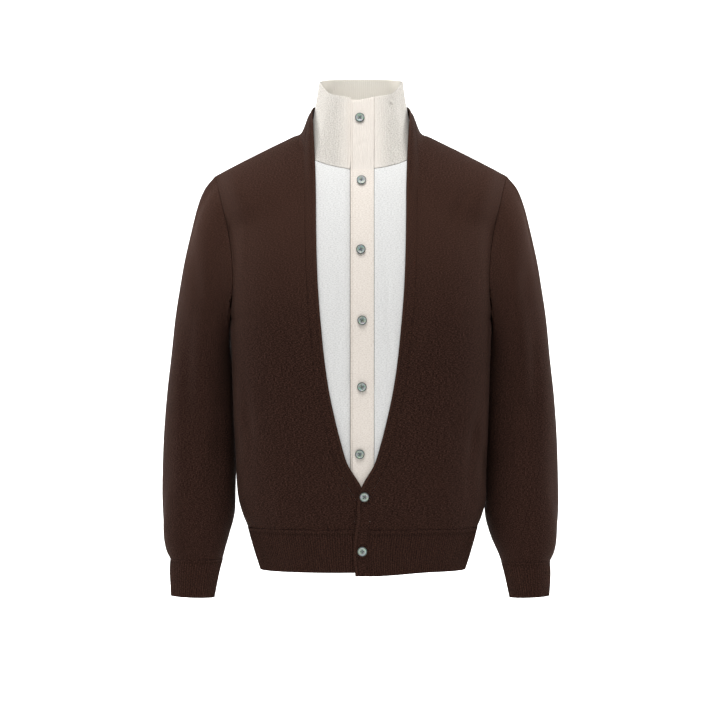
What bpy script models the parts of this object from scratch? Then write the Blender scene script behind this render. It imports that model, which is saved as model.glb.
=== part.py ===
"""Polo collar cardigan, worn and hollow: a brown V-neck cardigan with a built-in ribbed collar and button placket.

Metres, +Z up, the front towards -Y and the wearer's left towards +X. The origin is on the centre line at the height
where the shoulders carry the garment. Each cut and sewn piece is its own object, a closed wall between an outer and
an inner sheet of points, and neighbouring pieces keep a small gap at their seams.
"""

import bisect
import math

import bmesh
import bpy
import numpy as np
from mathutils import Matrix, Vector

SEAM = 0.0003  # gap between two pieces at a seam
KNIT = 0.0020  # thickness of the brown knit
JERSEY = 0.0013  # thickness of the white jersey
PLACKET = 0.0016  # thickness of each placket strip
RIB_WALL = 0.0020  # thickness of ribbed knit between its ribs
RIB_HEIGHT = 0.0008

CHEST = -0.290  # height of the underarm, where the tube of the body ends and the yoke begins
HEM_TOP = -0.5905
HEM_BOTTOM = -0.6535
SIDE_SEAM = math.radians(100)  # angle of the side seam, from the centre front
FULLNESS = 2.35  # exponent of the body's rounded sections; 2 is an ellipse
SHOULDER_FULLNESS = 4.5  # the same at the shoulder line, where the sections are boxier

SHOULDER_HALF = 0.2180
SHOULDER_HEIGHT = -0.0655
SHOULDER_SLOPE = 0.49
NECK_HALF = 0.0797  # the shoulder seam ends here
STAND_HALF = 0.0730  # the band's top edge at the side of the neck
STAND_SLOPE = 1.7
FLARE_FROM = 0.090  # nearer the neck than this, the cloth turns up
FLARE_RISE = 0.0190
FLARE_POWER = 2.8
SHOULDER_CROWN = 0.0026  # how far the shoulder line rises above a straight slope
RIDGE_BACK = 0.012  # how far the neck end of the shoulder seam lies behind the centre
RIDGE_FORWARD = 0.008  # the outer end of the seam lies this much further forward
YOKE_BULGE_FRONT, YOKE_BULGE_BACK = 2.2, 2.8  # how full the yoke stays before it turns over the shoulder

SWAY = 0.0028  # the hem hangs this far towards the wearer's left

BAND_WIDTH = 0.0165
BAND_WIDTH_AT_HEM = 0.0205
LAP_LAYER = KNIT + RIB_HEIGHT + 0.0004  # how much deeper the lower front lies where the upper one covers it
LAP_ACROSS = (-0.0500, -0.0125)  # it sinks from the first of these x to the second
LAP_DOWN = (-0.475, -0.512)  # and from the first of these heights to the second
UPPER_SAG = 0.0050  # the upper front's hem hangs this far below the rest, at its centre edge
UNDER_EDGE = 0.0100  # centre edge of the lower front band, hidden by the upper one
NECKLINE_BACK = 0.0743
BAND_BACK = 0.0695
BAND_RISE = 0.0175

PLACKET_LEFT, PLACKET_RIGHT = -0.0124, 0.0190
UNDER_LEFT, UNDER_RIGHT = -0.0155, 0.0115
INSERT_LAYER = PLACKET + 0.0009  # how much deeper the lower half of the insert lies at the centre
INSERT_DEPTH, INSERT_SUNK = 0.0029, 0.0033  # how deep the insert lies, and how much deeper under both fronts
INSERT_HIDDEN = 0.0150  # the insert runs this far under the V edge
INSERT_NARROWEST = 0.0080
INSERT_BOTTOM = -0.543
COLLAR_SEAM = -0.0605  # height of the collar's lower seam at the centre front
COLLAR_SEAM_RISE = 2.9  # it rises by this times the square of the distance from the centre

BUTTON_RADIUS = 0.0069
BUTTON_THICKNESS = 0.0028
BUTTON_SIDES = 12


def table(columns, *rows):
    """A short table as a dictionary of arrays, one for each named column."""
    return dict(zip(columns.split(), np.array(rows, float).T))


BODY = table(
    "height  half_width  front    back   widest",
    (-0.6535, 0.1530, -0.1180, 0.1160, -0.010),
    (-0.637, 0.1590, -0.1200, 0.1180, -0.012),
    (-0.605, 0.1670, -0.1240, 0.1205, -0.014),
    (-0.585, 0.1735, -0.1265, 0.1225, -0.017),
    (-0.565, 0.1815, -0.1300, 0.1240, -0.019),
    (-0.540, 0.1855, -0.1320, 0.1240, -0.021),
    (-0.500, 0.1875, -0.1320, 0.1210, -0.023),
    (-0.430, 0.1900, -0.1310, 0.1140, -0.025),
    (-0.350, 0.1925, -0.1315, 0.1140, -0.026),
    (-0.290, 0.1945, -0.1330, 0.1180, -0.026),
)
V_EDGE = table(
    "height  half_width",
    (-0.5290, 0.0000),
    (-0.5180, 0.0082),
    (-0.5055, 0.0146),
    (-0.4763, 0.0251),
    (-0.4398, 0.0350),
    (-0.3800, 0.0478),
    (-0.3420, 0.0532),
    (-0.2807, 0.0593),
    (-0.2340, 0.0628),
    (-0.1668, 0.0651),
    (-0.0640, 0.0668),
    (-0.0200, 0.0690),
    (0.0311, STAND_HALF),
)
LAP_EDGE = table(
    "height  across",
    (-0.6570, -0.0082),
    (-0.6440, -0.0098),
    (-0.6180, -0.0112),
    (-0.6000, -0.0104),
    (-0.5810, -0.0068),
    (-0.5610, -0.0050),
    (-0.5380, -0.0055),
)
SLEEVE = table(
    "outer_x  outer_z  inner_x  inner_z  middle_y  half_depth",
    (0.2180, -0.0655, 0.1935, -0.290, 0.004, 0.0650),
    (0.2345, -0.0860, 0.1950, -0.301, 0.006, 0.0655),
    (0.2470, -0.1140, 0.1950, -0.313, 0.009, 0.0655),
    (0.2570, -0.1500, 0.1940, -0.327, 0.012, 0.0650),
    (0.2655, -0.1920, 0.1925, -0.343, 0.015, 0.0645),
    (0.2725, -0.2320, 0.1915, -0.362, 0.018, 0.0640),
    (0.2800, -0.2800, 0.1905, -0.385, 0.021, 0.0630),
    (0.2870, -0.3350, 0.1895, -0.415, 0.024, 0.0620),
    (0.2930, -0.3950, 0.1880, -0.450, 0.026, 0.0610),
    (0.2975, -0.4550, 0.1870, -0.488, 0.027, 0.0600),
    (0.2995, -0.5150, 0.1865, -0.530, 0.025, 0.0590),
    (0.2990, -0.5680, 0.1895, -0.572, 0.021, 0.0560),
    (0.2965, -0.6040, 0.1980, -0.604, 0.015, 0.0505),
    (0.2930, -0.6260, 0.2040, -0.626, 0.010, 0.0445),
    (0.2865, -0.6400, 0.2075, -0.640, 0.007, 0.0400),
)
CUFF = table(
    "outer_x  outer_z  inner_x  inner_z  middle_y  half_depth",
    (0.2860, -0.6403, 0.2078, -0.6403, 0.007, 0.0395),
    (0.2865, -0.6610, 0.2130, -0.6610, 0.004, 0.0375),
    (0.2845, -0.6950, 0.2200, -0.6975, 0.000, 0.0345),
)
# How far the wearer's left sleeve hangs from a mirror image of the right one: along its length, and at its cuff.
# Its cuff's lower rim isn't dropped.
LEFT_OUTER, LEFT_INNER, LEFT_INNER_CUFF, LEFT_DROP = -0.0024, -0.0030, 0.0030, 0.0035
COLLAR_BOTTOM = table(
    "x  y  z",
    (0.0000, -0.0940, -0.0605),
    (0.0350, -0.0920, -0.0569),
    (0.0600, -0.0850, -0.0501),
    (0.0735, -0.0660, -0.0380),
    (0.0772, -0.0320, -0.0230),
    (0.0766, 0.0120, -0.0080),
    (0.0638, 0.0440, -0.0140),
    (0.0375, 0.0605, -0.0190),
    (0.0000, 0.0662, -0.0210),
)
COLLAR_TOP = table(
    "x  y  z",
    (0.0000, -0.0715, 0.0425),
    (0.0207, -0.0695, 0.0470),
    (0.0430, -0.0580, 0.0515),
    (0.0545, -0.0420, 0.0605),
    (0.0608, -0.0150, 0.0715),
    (0.0620, 0.0100, 0.0765),
    (0.0520, 0.0400, 0.0815),
    (0.0300, 0.0560, 0.0838),
    (0.0000, 0.0610, 0.0845),
)
INSERT_BUTTONS = table(
    "across  height",
    (-0.0018, 0.0152),
    (0.0006, -0.0774),
    (-0.0003, -0.1802),
    (0.0016, -0.2842),
    (0.0013, -0.3814),
    (-0.0018, -0.4792),
)
FRONT_BUTTONS = table(
    "across  height",
    (0.0048, -0.5417),
    (0.0018, -0.6213),
)
# The largest soft folds: how far along and round the piece each lies, its length and width, its lean and its depth.
SLEEVE_FOLDS = table(
    "along  round  length  width  lean  depth",
    (-0.210, 128, 0.080, 22, 60, -0.0045),
    (-0.360, 118, 0.120, 20, 20, -0.0035),
    (-0.430, 250, 0.080, 25, -80, -0.0040),
    (-0.470, 60, 0.070, 24, 90, -0.0030),
    (-0.590, 150, 0.030, 30, 0, 0.0025),
    (-0.600, 300, 0.030, 30, 0, 0.0025),
)
BODY_FOLDS = table(
    "along  round  length  width  lean  depth",
    (-0.470, 62, 0.070, 8, -60, -0.0030),
    (-0.440, -66, 0.060, 8, 60, -0.0025),
    (-0.480, 150, 0.090, 14, 50, -0.0040),
    (-0.420, -140, 0.080, 14, -60, -0.0035),
    (-0.570, 178, 0.035, 20, 0, 0.0030),
)

HEM_ROWS = 2
TUBE_ROWS = 10
YOKE_ROWS = 12
SHOULDER_COLUMNS = 9  # columns of a front, and of the back from its side to the neckline
NECK_COLUMNS = 5  # columns of the back's neckline, from its side to the centre
BAND_COLUMNS = 2
HEM_RIB = 0.0070  # width of one raised rib and its groove
CUFF_RIB = 0.0052
COLLAR_RIB = 0.0050
HEM_FRONT_LENGTH, HEM_BACK_LENGTH, CUFF_GIRTH, COLLAR_LENGTH = 0.215, 0.430, 0.200, 0.410
POINTS_PER_INNER = 4 # columns of the ribbed outside for each column of the plain inside


def hermite(start, end, pull_start, pull_end, t):
    """A smooth step from start to end, which leaves and arrives with the two pulls."""
    return (
        start * (2 * t**3 - 3 * t**2 + 1)
        + end * (3 * t**2 - 2 * t**3)
        + pull_start * (t**3 - 2 * t**2 + t)
        + pull_end * (t**3 - t**2)
    )


def curve(sheet, column):
    """A function that reads a table's column at any height, on a smooth curve through its rows."""
    places = sheet["height"].tolist()
    values = sheet[column].tolist()
    slopes = np.gradient(values, places).tolist()

    def read(where):
        i = min(max(bisect.bisect(places, where) - 1, 0), len(places) - 2)
        span = places[i + 1] - places[i]
        t = min(max((where - places[i]) / span, 0.0), 1.0)
        return hermite(values[i], values[i + 1], span * slopes[i], span * slopes[i + 1], t)

    return read


body_half, body_front, body_back, body_widest = (
    curve(BODY, column) for column in ("half_width", "front", "back", "widest")
)
v_width = curve(V_EDGE, "half_width")
V_POINT = float(V_EDGE["height"][0])
lap_across = curve(LAP_EDGE, "across")


def fade(value, start, end):
    """0 at start, 1 at end, and smooth between them."""
    t = min(max((value - start) / (end - start), 0.0), 1.0)
    return t * t * (3 - 2 * t)


def power(value, exponent):
    return max(value, 0.0) ** exponent


# --- The body's surface -------------------------------------------------------------------------------------------


def ridge(x, flare=1.0):
    """Height of the shoulder line, which turns up beside the neck and is level inside it."""
    x = max(abs(x), STAND_HALF)
    shoulder = max(x, NECK_HALF)
    turned_up = flare * FLARE_RISE * power((FLARE_FROM - shoulder) / (FLARE_FROM - NECK_HALF), FLARE_POWER)
    sloping = SHOULDER_HEIGHT + SHOULDER_SLOPE * (SHOULDER_HALF - shoulder)
    outwards = (shoulder - NECK_HALF) / (SHOULDER_HALF - NECK_HALF)
    crown = SHOULDER_CROWN * (1 - power(outwards, 3))
    return sloping + crown + turned_up + STAND_SLOPE * (shoulder - x)


def ridge_behind(x):
    """How far behind the centre the shoulder line lies."""
    return RIDGE_BACK - RIDGE_FORWARD * fade(abs(x), NECK_HALF, SHOULDER_HALF)


def fullness(rise):
    return FULLNESS + (SHOULDER_FULLNESS - FULLNESS) * fade(rise, 0.55, 0.95)


def rounded(angle, exponent):
    """The sine and cosine of a section with full corners."""
    return (
        power(abs(math.sin(angle)), 2 / exponent),
        power(abs(math.cos(angle)), 2 / exponent),
    )


def section_y(cosine, height, behind, rise=0.0):
    """How far forward or back a section lies. Its widest place moves back to the shoulder line in the yoke."""
    widest = body_widest(height) * (1 - rise**2)
    reach = body_back(height) if behind else body_front(height)
    return widest + (reach - widest) * cosine


def sway(height):
    return SWAY * fade(height, -0.49, -0.59)


def tube_point(angle, height):
    """A point of the body below the underarm. The angle is 0 at the centre front and 180 degrees at the back."""
    sine, cosine = rounded(angle, FULLNESS)
    x = body_half(height) * sine * (1 if angle >= 0 else -1)
    return np.array((x + sway(height), section_y(cosine, height, abs(angle) > math.pi / 2), height))


def yoke_half(rise):
    chest_half = BODY["half_width"][-1]
    return chest_half + (SHOULDER_HALF - chest_half) * rise**2


def yoke_depth(rise, behind):
    """1 at the chest, and 0 where the cloth goes over the shoulder."""
    bulge = YOKE_BULGE_BACK if behind else YOKE_BULGE_FRONT
    return power(1 - power(rise, bulge), 1 / bulge)


def yoke_point(angle, rise):
    """A point of the body above the underarm. The rise is 0 at the chest and 1 at the shoulder line."""
    sine, cosine = rounded(angle, fullness(rise))
    behind = abs(angle) > math.pi / 2
    x = yoke_half(rise) * sine * (1 if angle >= 0 else -1)
    top = ridge(max(abs(x), NECK_HALF), rise**6) if behind else ridge(x)
    depth = yoke_depth(rise, behind)
    y = section_y(cosine, CHEST, behind, rise) * depth + ridge_behind(x) * (1 - depth)
    return np.array((x, y, CHEST + (top - CHEST) * rise))


def body_point(angle, level):
    """A level from 0 to 1 goes from the underarm to the shoulder; below 0 it is metres under the underarm."""
    if angle > math.pi:
        angle -= 2 * math.pi
    return tube_point(angle, CHEST + level) if level < 0 else yoke_point(angle, level)


def body_normal(angle, level):
    """The way out of the cloth, from two short steps along it."""
    step_round, step_up = math.radians(1.0), 0.004
    if level > 0.9:
        # Over the shoulder's end the sections turn back, so the normal is taken just in front of it.
        if angle > math.pi:
            angle -= 2 * math.pi
        near_end = abs(abs(angle) - math.pi / 2) < 3 * step_round
        angle = math.copysign(math.pi / 2 - 3 * step_round, angle) if near_end else angle
    low, high = level - step_up, level + step_up
    if level >= 0:
        low, high = max(level - 0.01, 0.0), min(level + 0.01, 1.0)
    across = body_point(angle + step_round, level) - body_point(angle - step_round, level)
    up = body_point(angle, high) - body_point(angle, low)
    normal = np.cross(across, up)
    if level > 0.999:
        normal[1] = 0.0  # the front and the back share the shoulder seam's normal
    return normal / np.linalg.norm(normal)


def folds(sheet, along, degrees):
    """How far the soft folds push the cloth out, or in, at this place."""
    turned = (degrees - sheet["round"] - sheet["lean"] * (along - sheet["along"]) / 0.1 + 180) % 360 - 180
    near = ((along - sheet["along"]) / sheet["length"]) ** 2 + (turned / sheet["width"]) ** 2
    return float((sheet["depth"] * np.exp(-near)).sum())


def angle_of(x, level):
    """The angle at which the front has this x, at a level."""
    half = body_half(CHEST + level) if level < 0 else yoke_half(level)
    x -= sway(CHEST + level) if level < 0 else 0.0
    return math.copysign(math.asin(min(abs(x) / half, 1.0) ** (fullness(level) / 2)), x)


def front_level(x, height):
    """The level of a point of the front, from its x and its height."""
    return height - CHEST if height < CHEST else (height - CHEST) / (ridge(x) - CHEST)


def front_at(x, height, inward=0.0):
    """The point of the front with this x and height, moved in through the cloth, and the way out there."""
    level = front_level(x, height)
    angle = angle_of(x, level)
    normal = body_normal(angle, level)
    return body_point(angle, level) - normal * inward, normal


# --- The edges ----------------------------------------------------------------------------------------------------


def v_half(height):
    """Half the width of the V, measured to the edge of the brown cloth."""
    return v_width(max(height, V_POINT))


def centre_edge(side, height):
    """X of the free edge of a front band. Side is 1 for the wearer's left, which laps over, and -1 for the right."""
    crossing = fade(height, V_POINT - 0.009, V_POINT + 0.011)
    below = lap_across(min(height, V_POINT - 0.009)) if side > 0 else UNDER_EDGE
    above = side * v_half(max(height, V_POINT + 0.002))
    return below + (above - below) * crossing


def band_seam(side, height):
    """X of the seam between a front band and the front: the free edge, moved out by the width of the band."""
    step = 0.012
    slope = (centre_edge(side, height + step) - centre_edge(side, height - step)) / (2 * step)
    steep = min(abs(slope), 0.7) if height > V_POINT - 0.03 else 0.0
    width = BAND_WIDTH + (BAND_WIDTH_AT_HEM - BAND_WIDTH) * fade(height, -0.55, -0.59)
    seam = centre_edge(side, height) + side * width * math.hypot(1, steep)
    return seam + (side * NECK_HALF - seam) * fade(height, -0.06, ridge(NECK_HALF))


def on_row(edge, side, level):
    """The angle at which an edge, given as x by height, crosses the row at this level."""
    x = edge(side, CHEST)
    for _ in range(12):
        height = CHEST + level if level < 0 else CHEST + (ridge(x) - CHEST) * level
        x = edge(side, height)
    return angle_of(x, level)


def tuck(side, x, height):
    """How much deeper the lower front lies than the body's surface, where the upper one covers it."""
    if side >= 0:
        return 0.0
    return LAP_LAYER * fade(x, *LAP_ACROSS) * fade(height, *LAP_DOWN)


def armhole(level, behind):
    """The angle of the armhole's edge: it starts at the side seam and ends at the shoulder point."""
    straight = SIDE_SEAM + (math.pi / 2 - SIDE_SEAM) * level
    scoop = power(math.sin(math.pi * level**0.6), 0.75)
    return straight + math.radians(20 if behind else -23) * scoop


def sag(side, x, height):
    """How far the upper front's hem hangs below the rest, at its centre edge."""
    return UPPER_SAG * fade(x, 0.110, 0.010) * fade(height, HEM_TOP, HEM_BOTTOM) if side > 0 else 0.0


def yoke_levels():
    return [math.sin(math.pi / 2 * (k / YOKE_ROWS) ** 1.3) for k in range(YOKE_ROWS + 1)]


def tube_levels():
    """Rows from the hem's seam to the underarm, closer together where the V comes to its point."""
    spots = np.linspace(0, 1, TUBE_ROWS + 1)
    return [float(HEM_TOP - CHEST) * (1 - power(t, 1.25)) for t in spots][:-1]


def body_levels():
    return tube_levels() + yoke_levels()


def hem_levels():
    return [float(h) - CHEST for h in np.linspace(HEM_BOTTOM, HEM_TOP, HEM_ROWS + 1)]


# --- Walls --------------------------------------------------------------------------------------------------------


def collection_of(name):
    group = bpy.data.collections.new(name)
    bpy.context.scene.collection.children.link(group)
    return group


def material(name, colour, roughness):
    made = bpy.data.materials.new(name)
    made.use_nodes = True
    shader = made.node_tree.nodes["Principled BSDF"]
    shader.inputs["Base Color"].default_value = (*colour, 1)
    shader.inputs["Roughness"].default_value = roughness
    shader.inputs["Metallic"].default_value = 0.0
    return made


def trimmed(grid, left=0.0, right=0.0, bottom=0.0, top=0.0):
    """The grid with its edges drawn back along the cloth by these distances."""
    grid = grid.copy()
    for distance, edge, inside in (
        (left, grid[:, 0], grid[:, 1]),
        (right, grid[:, -1], grid[:, -2]),
        (bottom, grid[0], grid[1]),
        (top, grid[-1], grid[-2]),
    ):
        along = inside - edge
        edge += along * (distance / np.linalg.norm(along, axis=1))[:, None]
    return grid


def rim(mesh, outer, inner):
    """Faces between the ends of the two sheets, where the outer one may have several points for each inner one."""
    each = (len(outer) - 1) // (len(inner) - 1)
    for j in range(len(inner) - 1):
        row = outer[j * each : (j + 1) * each + 1]
        if each == 1:
            mesh.faces.new((row[0], row[1], inner[j + 1], inner[j]))
            continue
        for k in range(each):
            mesh.faces.new((row[k], row[k + 1], inner[j + (k >= each // 2)]))
        mesh.faces.new((row[each // 2], inner[j + 1], inner[j]))


def wall(name, outer, inner, finish, group, closed=False):
    """A closed wall of cloth between an outer and an inner grid, each as rows of points."""
    mesh = bmesh.new()
    sheets = []
    for grid in (outer, inner):
        rows = [[mesh.verts.new(point) for point in row] for row in grid]
        if closed:
            rows = [row + row[:1] for row in rows]
        for low, high in zip(rows, rows[1:]):
            for k in range(len(low) - 1):
                mesh.faces.new((low[k], low[k + 1], high[k + 1], high[k]))
        sheets.append(rows)
    outside, inside = sheets
    rim(mesh, outside[0], inside[0])
    rim(mesh, outside[-1], inside[-1])
    if not closed:
        rim(mesh, [row[0] for row in outside], [row[0] for row in inside])
        rim(mesh, [row[-1] for row in outside], [row[-1] for row in inside])
    bmesh.ops.recalc_face_normals(mesh, faces=mesh.faces)
    if mesh.calc_volume(signed=True) < 0:
        bmesh.ops.reverse_faces(mesh, faces=mesh.faces)
    data = bpy.data.meshes.new(name)
    mesh.to_mesh(data)
    mesh.free()
    data.shade_smooth()
    data.set_sharp_from_angle(angle=math.radians(50))
    data.materials.append(finish)
    made = bpy.data.objects.new(name, data)
    group.objects.link(made)
    return made


def body_sheets(spans, levels, columns, thickness, ribs=0.0, side=0, at_top=None):
    """The outer and inner grid of a piece of the body. Spans gives its first and last angle at each level, and at_top
    the angles of its columns on the top row, towards which they move from an even spread."""
    outer, inner = [], []
    even = np.linspace(0, 1, columns + 1)
    for level in levels:
        first, last = spans(level)
        shares = even
        if at_top is not None:
            drawn = (at_top - at_top[0]) / (at_top[-1] - at_top[0])
            shares = even + (drawn - even) * fade(level, -0.10, 1.0)
        out_row, in_row = [], []
        for k, share in enumerate(shares):
            angle = first + (last - first) * share
            point = body_point(angle, level)
            normal = body_normal(angle, level)
            out = folds(BODY_FOLDS, point[2], math.degrees(angle)) - tuck(side, point[0], point[2])
            point[2] -= sag(side, point[0], point[2])
            raised = ribs if k % 2 else 0.0
            out_row.append(point + normal * (out + raised))
            if not ribs or k % POINTS_PER_INNER == 0:
                in_row.append(point + normal * (out - thickness))
        outer.append(out_row)
        inner.append(in_row)
    return np.array(outer), np.array(inner)


def even_ribs(length, width):
    """The number of outer columns for ribs of about this width, a whole number for each inner column."""
    return round(length / width * 2 / POINTS_PER_INNER) * POINTS_PER_INNER


# --- The brown cardigan -------------------------------------------------------------------------------------------


def seam_angles():
    """The angles, on the front, of the points where the shoulder seam's columns end, from the neck outwards."""
    spread = (np.arange(SHOULDER_COLUMNS + 1) / SHOULDER_COLUMNS) ** 1.2
    return np.array([angle_of(NECK_HALF + (SHOULDER_HALF - NECK_HALF) * t, 1.0) for t in spread])


def make_front(side, finish, group):
    def spans(level):
        seam = on_row(band_seam, side, level)
        outside = SIDE_SEAM if level <= 0 else armhole(level, False)
        return seam, side * outside

    top = side * seam_angles()
    sheets = body_sheets(spans, body_levels(), SHOULDER_COLUMNS, KNIT, side=side, at_top=top)
    name = "front_left" if side > 0 else "front_right"
    cut = [trimmed(g, left=SEAM / 2, right=SEAM, bottom=SEAM, top=SEAM / 2) for g in sheets]
    return wall(name, *cut, finish, group)


def neckline_angle(t):
    """Angle and level of the back neckline, from the shoulder seam (t = 0) to the centre back (t = 1)."""
    turn = t * math.pi / 2
    x = NECK_HALF * math.cos(turn)
    y = RIDGE_BACK + (NECKLINE_BACK - RIDGE_BACK) * math.sin(turn)
    level = 1.0
    for _ in range(12):
        sine = min(abs(x) / yoke_half(level), 1.0)
        cosine = power(1 - sine ** fullness(level), 1 / fullness(level))
        flat = section_y(cosine, CHEST, True, level)
        depth = (y - RIDGE_BACK) / (flat - RIDGE_BACK)
        level = power(1 - power(depth, YOKE_BULGE_BACK), 1 / YOKE_BULGE_BACK)
    return math.pi - math.asin(sine ** (fullness(level) / 2)), level


def back_columns():
    """The angle and level of each column of the back on its top edge: along one shoulder seam, the neckline and the
    other shoulder seam."""
    shoulder = [(math.pi - angle, 1.0) for angle in seam_angles()[:0:-1]]
    neckline = [neckline_angle(k / NECK_COLUMNS) for k in range(NECK_COLUMNS + 1)]
    half = shoulder + neckline
    return half + [(2 * math.pi - angle, level) for angle, level in half[-2::-1]]


def make_back(finish, group):
    edge = np.array(back_columns())
    columns = len(edge) - 1
    drawn = (edge[:, 0] - edge[0, 0]) / (edge[-1, 0] - edge[0, 0])
    even = np.linspace(0, 1, columns + 1)
    outer, inner = [], []
    for level in body_levels():
        side = SIDE_SEAM if level <= 0 else armhole(level, True)
        shares = even + (drawn - even) * fade(level, -0.10, 1.0)
        out_row, in_row = [], []
        for share, top in zip(shares, edge[:, 1]):
            angle = side + (2 * math.pi - 2 * side) * share
            lowered = level * (1 + (top - 1) * level) if level > 0 else level
            point = body_point(angle, lowered)
            normal = body_normal(angle, lowered)
            out = folds(BODY_FOLDS, point[2], math.degrees(angle))
            out_row.append(point + normal * out)
            in_row.append(point + normal * (out - KNIT))
        outer.append(out_row)
        inner.append(in_row)
    cut = [trimmed(np.array(g), SEAM, SEAM, SEAM, SEAM / 2) for g in (outer, inner)]
    return wall("back", *cut, finish, group)


def make_band(side, finish, group):
    """The front band: up from the hem, along the V edge, and round the neck to the centre back."""
    outer, inner = [], []
    for level in hem_levels()[:-1] + body_levels():
        first, last = on_row(centre_edge, side, level), on_row(band_seam, side, level)
        out_row, in_row = [], []
        for k in range(BAND_COLUMNS + 1):
            angle = first + (last - first) * k / BAND_COLUMNS
            point = body_point(angle, level)
            normal = body_normal(angle, level)
            deeper = tuck(side, point[0], point[2])
            point[2] -= sag(side, point[0], point[2])
            out_row.append(point - normal * deeper)
            in_row.append(point - normal * (deeper + KNIT))
        outer.append(out_row)
        inner.append(in_row)
    for j in range(1, NECK_COLUMNS + 1):
        t = j / NECK_COLUMNS
        turn = t * math.pi / 2
        foot = body_point(*neckline_angle(t)) * (side, 1, 1)
        head = np.array(
            (
                side * STAND_HALF * math.cos(turn),
                RIDGE_BACK + (BAND_BACK - RIDGE_BACK) * math.sin(turn),
                foot[2] + BAND_RISE,
            )
        )
        along = np.array((-side * math.sin(turn), math.cos(turn), 0.0))
        normal = np.cross(along, head - foot) * side
        normal /= np.linalg.norm(normal)
        steps = [head + (foot - head) * k / BAND_COLUMNS for k in range(BAND_COLUMNS + 1)]
        outer.append(steps)
        inner.append([point - normal * KNIT for point in steps])
    name = "band_left" if side > 0 else "band_right"
    cut = [trimmed(np.array(g), right=SEAM / 2, top=SEAM / 2) for g in (outer, inner)]
    return wall(name, *cut, finish, group)


def make_hem(finish, group):
    for side, name in ((1, "hem_front_left"), (-1, "hem_front_right")):

        def spans(level, side=side):
            return on_row(band_seam, side, level), side * SIDE_SEAM

        columns = even_ribs(HEM_FRONT_LENGTH, HEM_RIB)
        sheets = body_sheets(spans, hem_levels(), columns, RIB_WALL, RIB_HEIGHT, side)
        cut = [trimmed(g, left=SEAM / 2, right=SEAM / 2, top=SEAM / 2) for g in sheets]
        wall(name, *cut, finish, group)

    def behind(level):
        return SIDE_SEAM, 2 * math.pi - SIDE_SEAM

    sheets = body_sheets(behind, hem_levels(), even_ribs(HEM_BACK_LENGTH, HEM_RIB), RIB_WALL, RIB_HEIGHT)
    cut = [trimmed(g, left=SEAM / 2, right=SEAM / 2, top=SEAM / 2) for g in sheets]
    wall("hem_back", *cut, finish, group)


# --- Sleeves ------------------------------------------------------------------------------------------------------

def arm_ring(sheet, row, count, side):
    """One oval ring of the arm, from the inner point under the arm, forward and round."""
    outer = np.array((sheet["outer_x"][row], 0, sheet["outer_z"][row]))
    inner = np.array((sheet["inner_x"][row], 0, sheet["inner_z"][row]))
    if side > 0:
        lower = fade(-outer[2], -SHOULDER_HEIGHT, 0.60)
        at_cuff = fade(-inner[2], 0.595, 0.645)
        drop = LEFT_DROP * (1 - fade(-outer[2], 0.661, 0.695))
        outer += np.array((LEFT_OUTER, 0, -drop)) * lower
        inner += np.array((LEFT_INNER + (LEFT_INNER_CUFF - LEFT_INNER) * at_cuff, 0, -drop)) * lower
    middle = (outer + inner) / 2 + (0, sheet["middle_y"][row], 0)
    depth = np.array((0, -sheet["half_depth"][row], 0))
    ring = []
    for k in range(count):
        turn = 2 * math.pi * k / count
        ring.append(middle - (outer - inner) / 2 * math.cos(turn) + depth * math.sin(turn))
    return np.array(ring)


def armhole_ring():
    """The edge of the armhole, in the order of an arm ring."""
    levels = yoke_levels()
    front = [body_point(armhole(level, False), level) for level in levels]
    back = [body_point(armhole(level, True), level) for level in levels]
    return np.array(front + back[-2:0:-1])


def grid_normals(grid):
    """Ways out of a closed tube of rings."""
    around = np.roll(grid, -1, axis=1) - np.roll(grid, 1, axis=1)
    along = np.gradient(grid, axis=0)
    normals = np.cross(along, around)
    normals /= np.linalg.norm(normals, axis=2)[:, :, None]
    outward = ((grid - grid.mean(axis=1, keepdims=True)) * normals).sum()
    return normals if outward > 0 else -normals


def make_sleeve(side, finish, group):
    hole = armhole_ring()
    count = len(hole)
    rows = len(SLEEVE["outer_x"])
    rings = np.array([arm_ring(SLEEVE, row, count, side) for row in range(rows)])
    unlike = hole + (2 * SEAM, 0, 0) - arm_ring(SLEEVE, 0, count, side)
    for row in range(rows):
        rings[row] += unlike * (1 - fade(row, 0, 4.5))
    normals = grid_normals(rings)
    degrees = 360 * np.arange(count) / count
    for row in range(2, rows):
        for k in range(count):
            push = folds(SLEEVE_FOLDS, rings[row, k, 2], degrees[k])
            rings[row, k] += normals[row, k] * push
    inside = rings - normals * KNIT
    mirror = np.array((side, 1, 1))
    cut = [trimmed(g * mirror, top=SEAM) for g in (rings, inside)]
    return wall("sleeve_left" if side > 0 else "sleeve_right", *cut, finish, group, closed=True)


def make_cuff(side, finish, group):
    count = even_ribs(CUFF_GIRTH, CUFF_RIB)
    rings = np.array([arm_ring(CUFF, row, count, side) for row in range(len(CUFF["outer_x"]))])
    normals = grid_normals(rings)
    raised = np.where(np.arange(count) % 2, RIB_HEIGHT, 0.0)[None, :, None]
    outside = rings + normals * raised
    inside = (rings - normals * RIB_WALL)[:, ::POINTS_PER_INNER]
    mirror = np.array((side, 1, 1))
    name = "cuff_left" if side > 0 else "cuff_right"
    return wall(name, outside * mirror, inside * mirror, finish, group, closed=True)


# --- The insert ---------------------------------------------------------------------------------------------------


def under_depth(height):
    """How deep the insert's upper layer lies behind the body's surface: deeper where both fronts cover it."""
    return INSERT_DEPTH + INSERT_SUNK * fade(height, -0.450, -0.500)


def lower_layer(x):
    """How much deeper the wearer's right side of the insert lies, down to nothing towards the V edge."""
    return INSERT_LAYER * fade(x, -0.048, UNDER_LEFT)


def collar_seam(x):
    return COLLAR_SEAM + COLLAR_SEAM_RISE * x * x


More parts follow.
